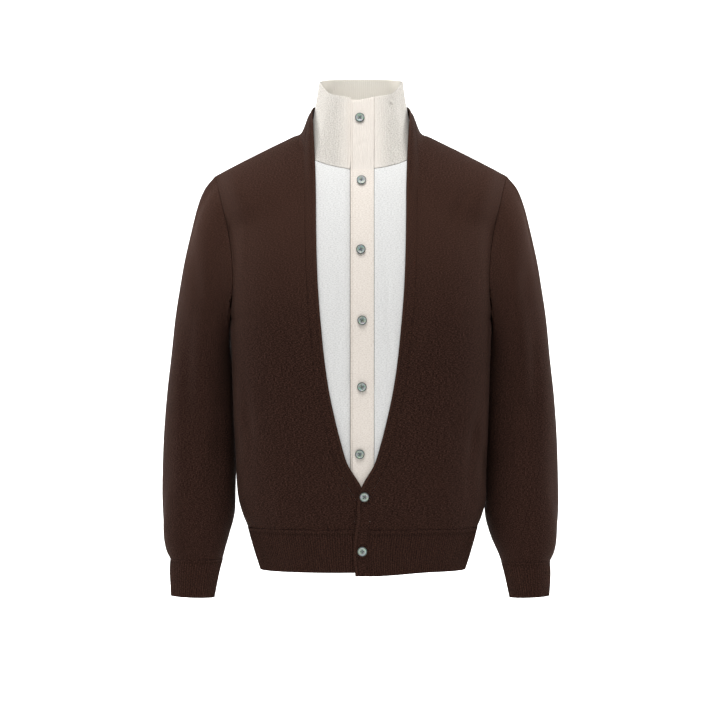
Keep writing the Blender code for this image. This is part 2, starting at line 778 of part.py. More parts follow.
def collar_curve(sheet):
    """A dense closed curve through a half table and its mirror image, from the centre front past the left side."""
    half = np.stack((sheet["x"], sheet["y"], sheet["z"]), axis=1)
    loop = np.concatenate((half, half[-2:0:-1] * (-1, 1, 1)))
    steps = 24
    points = []
    for i in range(len(loop)):
        before, start, end, after = (loop[(i + k) % len(loop)] for k in (-1, 0, 1, 2))
        for k in range(steps):
            t = k / steps
            pull_start, pull_end = (end - before) / 2, (after - start) / 2
            points.append(hermite(start, end, pull_start, pull_end, t))
    return np.array(points)


LOW_CURVE, HIGH_CURVE = collar_curve(COLLAR_BOTTOM), collar_curve(COLLAR_TOP)


def collar_row(u):
    """The whole ring of the collar at a share of its height. Its front foot lies on the insert."""
    low = LOW_CURVE.copy()
    for point in low:
        if point[1] < -0.05:
            height = collar_seam(point[0])
            seated = front_at(point[0], height, under_depth(height))[0]
            point[1:] += (seated[1:] - point[1:]) * fade(abs(point[0]), 0.074, 0.064)
    ring = low + (HIGH_CURVE - low) * u
    middle = np.array((0.0, -0.008, 0.0))
    flat = (ring - middle) * (1, 1, 0)
    return ring - flat * (0.020 * math.sin(math.pi * u))


def neck_front(x, height, inward=0.0):
    """A point of the insert's centre front, which passes from the chest on to the collar."""
    if height <= collar_seam(x):
        return front_at(x, height, inward)[0]
    front = len(LOW_CURVE) // 4
    near = np.r_[-front:front]
    seam = front_at(x, collar_seam(x), under_depth(collar_seam(x)))[0]
    top = collar_row(1.0)[near]
    rim_y, rim_z = np.interp(x, top[:, 0], top[:, 1]), np.interp(x, top[:, 0], top[:, 2])
    u = (height - seam[2]) / (rim_z - seam[2])
    lift = under_depth(height) - inward
    return np.array((x, seam[1] + (rim_y - seam[1]) * u - lift, height))


def make_collar(finish, group):
    rows = 5
    columns = even_ribs(COLLAR_LENGTH, COLLAR_RIB)
    outer, inner = [], []
    for u in np.linspace(0, 1, rows):
        ring = collar_row(u)
        quarter = len(ring) // 4
        first = int(np.argmax(ring[:quarter, 0] > PLACKET_RIGHT + SEAM))
        last = len(ring) - int(np.argmax(ring[::-1][:quarter, 0] < UNDER_LEFT - SEAM))
        path = ring[first:last]
        path[:, 1] += [lower_layer(x) if y < -0.03 and x < 0 else 0.0 for x, y, _ in path]
        lengths = np.r_[0, np.cumsum(np.linalg.norm(np.diff(path, axis=0), axis=1))]
        spots = np.linspace(0, lengths[-1], columns + 1)
        line = np.stack([np.interp(spots, lengths, path[:, k]) for k in range(3)], axis=1)
        outer.append(line)
    outer = np.array(outer)
    along, up = np.gradient(outer, axis=1), np.gradient(outer, axis=0)
    normals = np.cross(along, up)
    normals /= np.linalg.norm(normals, axis=2)[:, :, None]
    raised = np.where(np.arange(columns + 1) % 2, RIB_HEIGHT, 0.0)[None, :, None]
    inner = (outer - normals * RIB_WALL)[:, ::POINTS_PER_INNER]
    cut = [trimmed(g, bottom=SEAM) for g in (outer + normals * (raised - RIB_HEIGHT / 2), inner)]
    return wall("collar", *cut, finish, group)


def make_insert(side, finish, group):
    """A jersey panel, from the placket's edge to a strip hidden under the V edge."""
    columns, rows = 5, 15
    start = PLACKET_RIGHT + 2 * SEAM if side > 0 else UNDER_LEFT - 2 * SEAM
    outer, inner = [], []
    for j in range(rows + 1):
        share = 1 - (1 - j / rows) ** 1.15
        out_row, in_row = [], []
        for k in range(columns + 1):
            across = k / columns
            x = start
            for _ in range(6):
                top = collar_seam(x)
                height = INSERT_BOTTOM + (top - INSERT_BOTTOM) * share
                reach = max(v_half(height) + INSERT_HIDDEN, abs(start) + INSERT_NARROWEST)
                x = start + (side * reach - start) * across
            point, normal = front_at(x, height, under_depth(height) + SEAM)
            point[1] += lower_layer(x) if side < 0 else 0.0
            out_row.append(point)
            in_row.append(point - normal * JERSEY)
        outer.append(out_row)
        inner.append(in_row)
    name = "insert_left" if side > 0 else "insert_right"
    return wall(name, np.array(outer), np.array(inner), finish, group)


def make_placket(name, left, right, extra, rim_tilt, finish, group):
    """A long strip from the point of the V to the collar's rim, this much deeper than the insert's upper layer."""
    columns = 3
    chest = list(np.linspace(INSERT_BOTTOM - 0.004, COLLAR_SEAM, 17))
    collar = [0.25, 0.5, 0.75, 1.0]
    outer = []
    for j in range(len(chest) + len(collar)):
        row = []
        for x in np.linspace(left, right, columns + 1):
            if j < len(chest):
                height = chest[j]
            else:
                top = float(COLLAR_TOP["z"][0]) + rim_tilt * x
                height = COLLAR_SEAM + (top - COLLAR_SEAM) * collar[j - len(chest)]
            row.append(neck_front(x, height, under_depth(height) + extra))
        outer.append(row)
    outer = np.array(outer)
    across, up = np.gradient(outer, axis=1), np.gradient(outer, axis=0)
    normals = np.cross(across, up)
    normals /= np.linalg.norm(normals, axis=2)[:, :, None]
    return wall(name, outer, outer - normals * PLACKET, finish, group)


# --- Buttons ------------------------------------------------------------------------------------------------------


def button_mesh(finish, helpers):
    """A four-hole button, turned from its profile, with its face along +Z and its back on the origin."""
    profile = (
        (0.0, BUTTON_THICKNESS * 0.72),
        (BUTTON_RADIUS * 0.58, BUTTON_THICKNESS * 0.72),
        (BUTTON_RADIUS * 0.74, BUTTON_THICKNESS),
        (BUTTON_RADIUS * 0.93, BUTTON_THICKNESS * 0.93),
        (BUTTON_RADIUS, BUTTON_THICKNESS * 0.55),
        (BUTTON_RADIUS * 0.82, 0.0),
        (0.0, 0.0),
    )
    data = bpy.data.meshes.new("button_profile")
    edges = [(k, k + 1) for k in range(len(profile) - 1)]
    data.from_pydata([(r, 0, z) for r, z in profile], edges, [])
    turned = bpy.data.objects.new("button_profile", data)
    helpers.objects.link(turned)
    screw = turned.modifiers.new("turn", "SCREW")
    screw.steps = screw.render_steps = BUTTON_SIDES
    screw.use_merge_vertices = True
    screw.merge_threshold = 0.00001
    cutter_mesh = bmesh.new()
    hole_spread, hole_radius = BUTTON_RADIUS * 0.27, BUTTON_RADIUS * 0.13
    for k in range(4):
        turn = math.radians(45 + 90 * k)
        spot = Vector((hole_spread * math.cos(turn), hole_spread * math.sin(turn), BUTTON_THICKNESS / 2))
        bmesh.ops.create_cone(
            cutter_mesh,
            cap_ends=True,
            segments=4,
            radius1=hole_radius,
            radius2=hole_radius,
            depth=BUTTON_THICKNESS * 2,
            matrix=Matrix.Translation(spot),
        )
    cutter_data = bpy.data.meshes.new("button_holes")
    cutter_mesh.to_mesh(cutter_data)
    cutter_mesh.free()
    cutter = bpy.data.objects.new("button_holes", cutter_data)
    cutter.display_type = "WIRE"
    helpers.objects.link(cutter)
    for helper in (turned, cutter):
        helper.hide_render = True
    drill = turned.modifiers.new("holes", "BOOLEAN")
    drill.operation = "DIFFERENCE"
    drill.object = cutter
    bpy.context.view_layer.update()
    made = bpy.data.meshes.new_from_object(turned.evaluated_get(bpy.context.evaluated_depsgraph_get()))
    made.materials.clear()
    made.materials.append(finish)
    return made


def place_button(name, data, spot, normal, turn, group):
    made = bpy.data.objects.new(name, data)
    made.location = Vector(spot + normal * SEAM)
    facing = Vector(normal).to_track_quat("Z", "X")
    made.rotation_mode = "QUATERNION"
    made.rotation_quaternion = facing @ Matrix.Rotation(math.radians(turn), 3, "Z").to_quaternion()
    group.objects.link(made)
    return made


def strip_normal(place, x, height):
    """The way out of a strip, from three of its points."""
    step = 0.004
    across = place(x + step, height) - place(x - step, height)
    up = place(x, height + step) - place(x, height - step)
    normal = np.cross(across, up)
    return normal / np.linalg.norm(normal)


def make_buttons(finish, group, helpers):
    data = button_mesh(finish, helpers)

    def on_placket(x, height):
        return neck_front(x, height, under_depth(height))

    def on_band(x, height):
        hangs = sag(1, x, height)
        return front_at(x, height + hangs)[0] - (0, 0, hangs)

    for prefix, sheet, place in (
        ("insert_button", INSERT_BUTTONS, on_placket),
        ("front_button", FRONT_BUTTONS, on_band),
    ):
        for k, (x, height) in enumerate(zip(sheet["across"], sheet["height"])):
            normal = strip_normal(place, x, height)
            spot = place(x, height)
            place_button(f"{prefix}_{k + 1}", data, spot, normal, 20 + 50 * k, group)


def main():
    for old in list(bpy.data.objects):
        bpy.data.objects.remove(old, do_unlink=True)
    group = collection_of("polo_collar_cardigan")
    helpers = collection_of("helpers")
    brown = material("brown_knit", (0.040, 0.019, 0.013), 0.9)
    brown_rib = material("brown_rib", (0.036, 0.017, 0.012), 0.9)
    cream_rib = material("cream_rib", (0.74, 0.69, 0.62), 0.9)
    jersey = material("white_jersey", (0.78, 0.78, 0.76), 0.9)
    cream = material("cream_placket", (0.84, 0.79, 0.73), 0.85)
    shell = material("button_shell", (0.25, 0.29, 0.27), 0.25)
    make_back(brown, group)
    for side in (1, -1):
        make_front(side, brown, group)
        make_sleeve(side, brown, group)
        make_cuff(side, brown_rib, group)
        make_band(side, brown_rib, group)
        make_insert(side, jersey, group)
    make_hem(brown_rib, group)
    make_collar(cream_rib, group)
    make_placket("placket_top", PLACKET_LEFT, PLACKET_RIGHT, 0.0, 0.23, cream, group)
    make_placket("placket_under", UNDER_LEFT, UNDER_RIGHT, INSERT_LAYER, 0.0, cream, group)
    make_buttons(shell, group, helpers)


main()
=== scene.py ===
# %% [markdown]
# # A polo collar cardigan, worn by nobody
#
# A dark brown cardigan in fine knit, with a deep V and two buttons, over a built-in off-white front: a ribbed
# collar, two jersey panels and a button placket. It keeps the shape of a wearer, but it is hollow.
#
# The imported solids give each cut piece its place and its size. Here every one of them is drawn again as thin
# cloth with far more points, so that ribs, rolled edges and soft creases fit on it, and gets a knitted finish.

import math

import bpy
import numpy as np
from mathutils import Matrix, Vector
from mathutils.bvhtree import BVHTree


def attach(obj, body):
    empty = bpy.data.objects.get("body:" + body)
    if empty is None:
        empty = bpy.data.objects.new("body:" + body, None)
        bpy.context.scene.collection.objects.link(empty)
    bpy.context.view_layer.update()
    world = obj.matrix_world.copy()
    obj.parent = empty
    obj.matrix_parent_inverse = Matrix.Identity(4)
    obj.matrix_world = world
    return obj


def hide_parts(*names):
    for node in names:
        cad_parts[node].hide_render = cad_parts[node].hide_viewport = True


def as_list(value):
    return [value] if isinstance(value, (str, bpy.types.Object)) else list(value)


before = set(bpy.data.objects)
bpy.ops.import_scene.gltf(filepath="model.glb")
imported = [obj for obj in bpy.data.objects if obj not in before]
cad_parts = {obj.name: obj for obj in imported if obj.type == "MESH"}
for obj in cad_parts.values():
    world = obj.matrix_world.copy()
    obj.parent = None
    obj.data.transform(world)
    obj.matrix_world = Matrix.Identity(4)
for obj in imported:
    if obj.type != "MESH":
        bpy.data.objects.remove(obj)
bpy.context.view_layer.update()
bpy.ops.object.select_all(action="DESELECT")
print("packed pieces:", len(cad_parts))

# %% [markdown]
# ## The camera
#
# The garment was photographed level and from the front, with a long lens. A camera far away with a narrow view
# gives the same flat look: at 4.5 m, one pixel of a 720 pixel picture is 1.5 mm at the shoulders.

# %% Camera
CAMERA_AT = (-0.0015, -4.5, -0.342)
LENS, SENSOR = 150, 36  # in millimetres
bpy.ops.object.camera_add(location=CAMERA_AT, rotation=(math.radians(90), 0, 0))
camera = bpy.context.object
camera.name = "camera"
camera.data.sensor_width = SENSOR
camera.data.lens = LENS
bpy.context.scene.camera = camera
print("camera at", CAMERA_AT)

# %% [markdown]
# ## Reading a wall back as rows and columns
#
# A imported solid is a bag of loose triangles. A cloth wall has two large sheets, the side that shows and the side
# towards the wearer, joined by narrow rims. A line that starts on a sheet and goes straight into the cloth comes
# out again after the wall's thickness, and one that starts on a rim runs much further: that tells them apart.
# Walking over a sheet's triangles from a corner then gives its points in rows, as they were first laid out.

# %% Take the sheets of a solid
THICKER = 1.3  # a line through a sheet is at most this many times the wall's usual thickness
LEAST_TURN = 0.1  # two faces whose normals agree less than this (a cosine) aren't in one sheet
RAY_START = 1e-5  # a line starts this far inside the cloth, so that it doesn't meet its own face
BODY_MIDDLE = (0.0, -0.01, 0.0)  # every piece of the body faces away from the upright through here


def joined(node):
    """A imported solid's points and triangles, with the triangles sharing their corners again."""
    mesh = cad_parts[node].data
    loose = np.array([v.co for v in mesh.vertices])
    corners = np.array([p.vertices for p in mesh.polygons])
    points, index = np.unique(loose, axis=0, return_inverse=True)
    return points, index.reshape(-1)[corners]


def sheets_of(points, triangles):
    """The two sheets of a wall, as lists of triangles, and the centre, normal and area of each triangle."""
    a, b, c = (points[triangles[:, k]] for k in range(3))
    normals = np.cross(b - a, c - a)
    areas = np.linalg.norm(normals, axis=1)
    normals /= areas[:, None]
    centres = (a + b + c) / 3
    tree = BVHTree.FromPolygons(points.tolist(), triangles.tolist())
    starts = [Vector(p - n * RAY_START) for p, n in zip(centres, normals)]
    depth = np.array([tree.ray_cast(start, Vector(-n))[3] or 1.0 for start, n in zip(starts, normals)])
    leader = {t: t for t in np.flatnonzero(depth < THICKER * np.median(depth)).tolist()}

    def root(t):
        while leader[t] != t:
            t = leader[t]
        return t

    owner = {}
    for t in leader:
        corner = triangles[t].tolist()
        for k in range(3):
            other = owner.setdefault(tuple(sorted((corner[k], corner[k - 1]))), t)
            if normals[t] @ normals[other] > LEAST_TURN:
                leader[root(t)] = root(other)
    groups = {}
    for t in leader:
        groups.setdefault(root(t), []).append(t)
    return sorted(groups.values(), key=lambda g: -areas[g].sum())[:2], centres, normals, areas


# %% Walk over a sheet
def next_row(row, first, third):
    """The points above a row, from the one above its start. None where the triangles don't make a grid."""
    above = [first]
    for a, b in zip(row, row[1:]):
        top = third.get((a, b))
        if top == above[-1]:
            above.append(third.get((top, b)))
        elif third.get((a, top)) == above[-1]:
            above.append(top)
        else:
            return None
    return None if None in above else above


def edges_of(faces):
    """The third corner beyond each directed edge, and the sheet's edges as loops of points."""
    third = {}
    for a, b, c in faces.tolist():
        third[a, b], third[b, c], third[c, a] = c, a, b
    after = {a: b for a, b in third if (b, a) not in third}
    loops = []
    while after:
        loop = [next(iter(after))]
        while after[loop[-1]] in after and after[loop[-1]] not in loop[:1] and len(loop) <= len(after):
            loop.append(after[loop[-1]])
        for k in loop:
            after.pop(k, None)
        loops.append(loop)
    return third, loops


def walk_open(loop, total, third):
    """Every way to read a sheet with one edge all round as rows."""
    half = len(loop) / 2
    spread = half * half / 4 - (total - 1 - half)
    if spread < 0 or abs(math.sqrt(spread) * 2 % 1) > 1e-6:
        return
    for across in {round(half / 2 - math.sqrt(spread)), round(half / 2 + math.sqrt(spread))}:
        up = int(half) - across
        for start in range(len(loop)):
            ring = loop[start:] + loop[:start]
            rows = [ring[: across + 1]]
            for k in range(1, up + 1):
                row = next_row(rows[-1], ring[-k], third)
                if row is None or row[-1] != ring[across + k]:
                    break
                rows.append(row)
            if len(rows) == up + 1:
                yield rows


def walk_tube(loop, points, third):
    """The rows of a sheet that is closed into a tube, from one open end to the other."""
    beside = {}
    for a, b in third:
        beside.setdefault(a, set()).add(b)
        beside.setdefault(b, set()).add(a)
    rows, passed = [loop], set(loop)
    while True:
        row = rows[-1]
        tries = [next_row(row + row[:1], first, third) for first in sorted(beside[row[0]] - passed)]
        tries = [above[:-1] for above in tries if above and above[-1] == above[0]]
        if not tries:
            return rows
        rows.append(min(tries, key=lambda above: np.linalg.norm(points[above] - points[row], axis=1).sum()))
        passed |= set(rows[-1])


def grid_of(node, inner=False, tube=False):
    """The points of one sheet of a solid, as rows that climb and columns that run so that normals face out."""
    points, triangles = joined(node)
    middle = points.mean(axis=0) if tube else np.array(BODY_MIDDLE)
    sheets, centres, normals, areas = sheets_of(points, triangles)
    for sheet in sheets:
        away = (centres[sheet] - middle)[:, :2]
        outwards = ((normals[sheet][:, :2] * away).sum(axis=1) * areas[sheet]).sum()
        if (outwards < 0) == inner:
            break
    third, loops = edges_of(triangles[sheet])
    if tube:
        loops.sort(key=lambda l: points[l][:, 2].mean())
        rows = walk_tube(loops[0], points, third)
        grid = points[np.array(rows)]
    else:
        ways = list(walk_open(loops[0], len(np.unique(triangles[sheet])), third))
        spare = [] if ways else sorted(set(range(len(triangles))) - set(sheet), key=lambda t: -areas[t])
        known = set(triangles[sheet].ravel().tolist())
        for t in [t for t in spare if len(known & set(triangles[t].tolist())) >= 2]:
            faces = triangles[sheet + [t]]
            third, loops = edges_of(faces)
            ways = list(walk_open(loops[0], len(np.unique(faces)), third)) if len(loops) == 1 else []
            if ways:
                break
        ways = [points[np.array(rows)] for rows in ways]
        grid = max(ways, key=lambda g: g[-1, :, 2].mean() - g[0, :, 2].mean())
    grid = grid[:, ::-1] if inner else grid
    print(f"{node}: {grid.shape[0] - 1} rows of {grid.shape[1] - (not tube)} columns")
    return grid


# %% [markdown]
# ## Finer cloth
#
# A packed wall has a point every centimetre or two, and cloth needs one every few millimetres. A smooth curve
# through the old points, in both directions, gives as many new ones as a rib or a crease needs, and it doesn't
# shrink the piece. A subdivision surface would do it too, but it pulls a bend inwards.

# %% Curves through rows and columns


def through(values, at, closed=False):
    """Points on smooth curves through the values, at the given places along their first axis."""
    if closed:
        padded = np.concatenate([values[-1:], values, values[:2]])
    else:
        first, last = 2 * values[:1] - values[1:2], 2 * values[-1:] - values[-2:-1]
        padded = np.concatenate([first, values, last])
    k = np.minimum(np.floor(at).astype(int), len(padded) - 4)
    t = (at - k).reshape((-1,) + (1,) * (values.ndim - 1))
    a, b, c, d = (padded[k + j] for j in range(4))
    return b + 0.5 * t * (c - a + t * (2 * a - 5 * b + 4 * c - d + t * (3 * (b - c) + d - a)))


def along(points, axis):
    """How far each point lies along its row or column, in metres."""
    steps = np.linalg.norm(np.diff(points, axis=axis), axis=-1)
    start = np.zeros_like(np.take(steps, [0], axis=axis))
    return np.cumsum(np.concatenate([start, steps], axis=axis), axis=axis)


def finer(grid, up, across, tube=False):
    """The same sheet with this many rows and columns, the columns an equal length apart along the middle row."""
    rows = through(grid, np.linspace(0, len(grid) - 1, up + 1))
    middle = rows[len(rows) // 2]
    if tube:
        middle = np.concatenate([middle, middle[:1]])
    length = along(middle, 0)
    places = np.interp(np.linspace(0, length[-1], across + 1), length, np.arange(len(length)))
    fine = through(rows.swapaxes(0, 1), places[:-1] if tube else places, tube)
    return fine.swapaxes(0, 1)


def facing(grid, tube=False):
    """The outward normal at each point of a sheet."""
    if tube:
        grid = np.concatenate([grid[:, -1:], grid, grid[:, :1]], axis=1)
    normal = np.cross(np.gradient(grid, axis=1), np.gradient(grid, axis=0))
    normal /= np.linalg.norm(normal, axis=-1, keepdims=True) + 1e-12
    return normal[:, 1:-1] if tube else normal


# %% [markdown]
# ## Creases
#
# Knit that hangs on a body pulls into a few soft troughs and ridges, no two alike. Each one here is listed:
# where its middle is, how long and wide it is, how it leans and bends, and how deep it goes. The depth fades
# smoothly to nothing on all sides, so a crease ends softly in the cloth.

# %% Push creases into a sheet


def creases(across, height, table):
    """The push outwards at each point. Places, lengths and widths are in metres, the lean in degrees from upright."""
    push = np.zeros_like(across)
    for x, z, length, width, lean, bend, depth in table:
        turn = math.radians(lean)
        run = (height - z) * math.cos(turn) + (across - x) * math.sin(turn)
        side = (across - x) * math.cos(turn) - (height - z) * math.sin(turn) - bend * (run / length) ** 2
        push += depth * np.exp(-((run / length) ** 2) - (side / width) ** 2)
    return push


# %% [markdown]
# ## From a sheet to cloth
#
# A grid of points becomes a mesh with one face between four points. Solidify gives it the knit's thickness towards
# the wearer, and a small bevel rounds the rims, as a knitted edge is never square. The UV map is the distance
# along the cloth in metres, so stitches keep their size wherever the cloth bends. Up a sleeve or a cuff it is the
# height, which keeps the rows level.

# %% Make cloth from a grid
RIM_ROUND, RIM_TURN = 0.0003, math.radians(62)  # a rim's bevel, and the least turn between two faces that gets one


def cloth(node, grid, thick, finish, tube=False, painted_shading=None):
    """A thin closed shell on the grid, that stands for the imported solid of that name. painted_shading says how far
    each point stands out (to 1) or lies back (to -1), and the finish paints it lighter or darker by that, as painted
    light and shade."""
    up, across = grid.shape[0] - 1, grid.shape[1] - (0 if tube else 1)
    number = np.arange(grid.shape[0] * grid.shape[1]).reshape(grid.shape[:2])
    if tube:
        number = np.concatenate([number, number[:, :1]], axis=1)
        laid = np.concatenate([grid, grid[:, :1]], axis=1)
    else:
        laid = grid
    corners = np.stack([number[:-1, :-1], number[:-1, 1:], number[1:, 1:], number[1:, :-1]], axis=-1).reshape(-1, 4)
    u = along(laid, 1)
    if tube:
        u = np.broadcast_to(u.mean(axis=0), u.shape)
    u = u - u[:, u.shape[1] // 2][:, None]
    v = laid[..., 2] if tube else along(laid, 0)
    place = np.stack([u, v], axis=-1)
    place = np.stack([place[:-1, :-1], place[:-1, 1:], place[1:, 1:], place[1:, :-1]], axis=2).reshape(-1, 2)
    data = bpy.data.meshes.new(node)
    data.from_pydata(grid.reshape(-1, 3).tolist(), [], corners.tolist())
    layer = data.uv_layers.new(name="cloth")
    layer.data.foreach_set("uv", place.astype(np.float32).ravel())
    piece = bpy.data.objects.new(node + "_cloth", data)
    bpy.context.scene.collection.objects.link(piece)
    data.materials.append(finish)
    if painted_shading is not None:
        relief = data.attributes.new("painted_shading", "FLOAT", "POINT")
        relief.data.foreach_set("value", np.broadcast_to(painted_shading, grid.shape[:2]).astype(np.float32).ravel())
    bpy.ops.object.select_all(action="DESELECT")
    bpy.context.view_layer.objects.active = piece
    piece.select_set(True)
    wall = piece.modifiers.new("thickness", "SOLIDIFY")
    wall.thickness = thick
    wall.offset = -1
    bpy.ops.object.modifier_apply(modifier="thickness")
    edge = piece.modifiers.new("rounded rims", "BEVEL")
    edge.width = RIM_ROUND
    edge.segments = 2
    edge.limit_method = "ANGLE"
    edge.angle_limit = RIM_TURN
    bpy.ops.object.modifier_apply(modifier="rounded rims")
    bpy.ops.object.shade_smooth()
    piece.select_set(False)
    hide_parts(node)
    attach(piece, "root")
    piece.data.calc_loop_triangles()
    wide, tall = along(laid, 1)[:, -1], along(laid, 0)[-1]
    area = sum(f.area for f in piece.data.polygons) / 2
    print(f"{node}: {up} x {across} cells, {len(piece.data.loop_triangles)} triangles,", end=" ")
    print(f"at most {wide.max():.3f} wide and {tall.max():.3f} m long, {area:.4f} m2 of cloth")


# %% [markdown]
# ## Knit
#
# Seen close, plain knit is rows of small Vs: each column of stitches leans left and right from its middle. Two
# waves of the UV map give that relief: one along the column, shifted with the distance from its middle, and one
# across it. Melange yarn is spun from lighter and darker fibres, so its colour changes in short streaks along the
# rows. Wool scatters light at a low angle, which is what the sheen is for.
# The grooves between columns of stitches are also painted darker, as shade.

# %% A knitted material
WALE, COURSE = 0.0017, 0.0013  # width of a column of stitches and height of a row
STITCH_LEAN = 0.55  # the rows that the arm of a stitch climbs from the side of its column to the middle
STITCH_DEEP, GROOVE_SHARPNESS = 0.35, 3.0  # the relief of a stitch, and how narrow the groove between columns is
FIBRES = (380, 950)  # fibres a metre, across and up: the streaks lie along the rows
PATCHES = 38.0  # cloudy patches a metre
FIBRE_CONTRAST, LIGHT_FIBRES, DARK_FIBRES = 4.2, 0.30, 0.22
PATCH_DARK, PATCH_CLEAR, GROOVE_SHADE = 0.24, -0.02, 0.16  # how much of the dark colour the patches get, and the grooves between columns as painted shade
RIB_TOP_HIGHLIGHT, RIB_FOOT_SHADE = 0.45, 0.75  # the share of the light colour painted as highlight on the top of a rib, and of the dark colour painted as shade at its foot
CHEST_IN, CHEST_OUT = (-0.36, -0.10), (0.02, -0.13)  # heights between which the painted highlight on the chest comes in, or goes out
WARM_MIDDLE, WARM_REACH, WARM_SHARE = 0.003, (0.044, 0.016), 0.8  # the warm colour's place across the collar, on the collar partly a painted highlight on the front's middle
WARM_FRONT, WARM_ABOVE = (0.0, -0.03), (-0.0640, -0.0600)  # and between which depths and heights it comes in
BACK_HIGHLIGHT_DEPTHS = (0.0, 0.035)  # depths between which the painted highlight on the collar's back comes in, on its inside and its outside
ROUGH_VARIES, ROUGH_LEAST, BUMP_DEEP, FIBRE_BUMP = 0.15, 0.80, 0.0004, 0.8
SHEEN_ROUGH, SHEEN, MATT = 0.45, (0.9, 0.62, 0.5), 0.1  # a finish with less gloss than MATT has the tinted sheen


def knit(
    name, colour, light, dark, sheen, relief, gloss=0.2, wale=WALE, course=COURSE, chest_highlight=0.0, warm=None, lit_back=None
):
    """A knitted finish. light and dark are the colours of the fibres that are spun in, and the colours of the painted
    highlight and painted shade on stitches, ribs and seams. chest_highlight is how much of the light colour is
    painted on the chest as a highlight. warm is the colour of the collar beside the placket, partly a painted
    highlight, and lit_back is the colour painted lighter on the collar's back as a highlight."""
    finish = bpy.data.materials.new(name)
    finish.use_nodes = True
    nodes, links = finish.node_tree.nodes, finish.node_tree.links
    shader = nodes["Principled BSDF"]

    def maths(kind, a, b=0.0, c=0.0):
        node = nodes.new("ShaderNodeMath")
        node.operation = kind
        for socket, value in zip(node.inputs, (a, b, c)):
            if isinstance(value, (int, float)):
                socket.default_value = value
            else:
                links.new(value, socket)
        return node.outputs[0]

    def noise(scale, detail, across=1.0, up=1.0):
        stretch = nodes.new("ShaderNodeVectorMath")
        stretch.operation = "MULTIPLY"
        stretch.inputs[1].default_value = (across, up, 1)
        links.new(uv.outputs["UV"], stretch.inputs[0])
        node = nodes.new("ShaderNodeTexNoise")
        node.noise_dimensions = "2D"
        node.inputs["Scale"].default_value = scale
        node.inputs["Detail"].default_value = detail
        links.new(stretch.outputs[0], node.inputs["Vector"])
        return node.outputs["Fac"]

    def blend(share, a, b):
        node = nodes.new("ShaderNodeMix")
        node.data_type = "RGBA"
        for socket, value in ((node.inputs[0], share), (node.inputs[6], a), (node.inputs[7], b)):
            if isinstance(value, tuple):
                socket.default_value = (*value, 1)
            else:
                links.new(value, socket)
        return node.outputs[2]

    uv = nodes.new("ShaderNodeUVMap")
    uv.uv_map = "cloth"
    split = nodes.new("ShaderNodeSeparateXYZ")
    links.new(uv.outputs["UV"], split.inputs[0])
    u = maths("DIVIDE", split.outputs[0], wale)
    v = maths("DIVIDE", split.outputs[1], course)
    arm = maths("ABSOLUTE", maths("MULTIPLY_ADD", maths("FRACT", u), 2.0, -1.0))
    stitch = maths("SINE", maths("MULTIPLY", maths("MULTIPLY_ADD", arm, STITCH_LEAN, v), 2 * math.pi))
    groove = maths("POWER", arm, GROOVE_SHARPNESS)
    height = maths("SUBTRACT", maths("MULTIPLY", stitch, STITCH_DEEP), groove)
    fibres = noise(1.0, 2.0, *FIBRES)
    patches = noise(PATCHES, 3.0)
    share = maths("SUBTRACT", fibres, 0.5)
    lit = maths("MULTIPLY_ADD", share, FIBRE_CONTRAST, LIGHT_FIBRES)
    tone = blend(maths("MINIMUM", maths("MAXIMUM", lit, 0.0), 1.0), colour, light)
    deep = maths("MULTIPLY_ADD", share, -FIBRE_CONTRAST, DARK_FIBRES)
    tone = blend(maths("MINIMUM", maths("MAXIMUM", deep, 0.0), 1.0), tone, dark)
    tone = blend(maths("MULTIPLY_ADD", patches, PATCH_DARK, PATCH_CLEAR), tone, dark)
    # painted shade: the grooves between columns of stitches are darker
    low = maths("SUBTRACT", 1.0, maths("MULTIPLY_ADD", height, 0.4, 0.6))
    tone = blend(maths("MULTIPLY", low, GROOVE_SHADE), tone, dark)
    # painted light and shade: raised ribs, rolled edges and seam ridges get the light colour, furrows the dark one
    painted_shading = nodes.new("ShaderNodeAttribute")
    painted_shading.attribute_name = "painted_shading"
    tone = blend(maths("MULTIPLY", maths("MAXIMUM", painted_shading.outputs["Fac"], 0.0), RIB_TOP_HIGHLIGHT), tone, light)
    furrow = maths("MAXIMUM", maths("MULTIPLY", painted_shading.outputs["Fac"], -1.0), 0.0)
    tone = blend(maths("MULTIPLY", furrow, RIB_FOOT_SHADE), tone, dark)
    where = nodes.new("ShaderNodeSeparateXYZ")
    links.new(nodes.new("ShaderNodeTexCoord").outputs["Object"], where.inputs[0])

    def band(value, start, end):
        node = nodes.new("ShaderNodeMapRange")
        node.interpolation_type = "SMOOTHSTEP"
        node.inputs["From Min"].default_value = start
        node.inputs["From Max"].default_value = end
        links.new(value, node.inputs["Value"])
        return node.outputs["Result"]

    # painted highlight: the chest is lighter towards the top, where light from above and the sheen fall on it
    if chest_highlight:
        chest = maths("MULTIPLY", band(where.outputs["Z"], *CHEST_IN), band(where.outputs["Z"], *CHEST_OUT))
        tone = blend(maths("MULTIPLY", chest, chest_highlight), tone, light)
    # on the collar the warm colour is lighter than the cream: the placket's hue, and a painted highlight on the
    # front's middle
    if warm:
        beside = maths("ABSOLUTE", maths("SUBTRACT", where.outputs["X"], WARM_MIDDLE))
        front = maths("MULTIPLY", band(where.outputs["Y"], *WARM_FRONT), band(where.outputs["Z"], *WARM_ABOVE))
        tone = blend(maths("MULTIPLY", maths("MULTIPLY", band(beside, *WARM_REACH), front), WARM_SHARE), tone, warm)
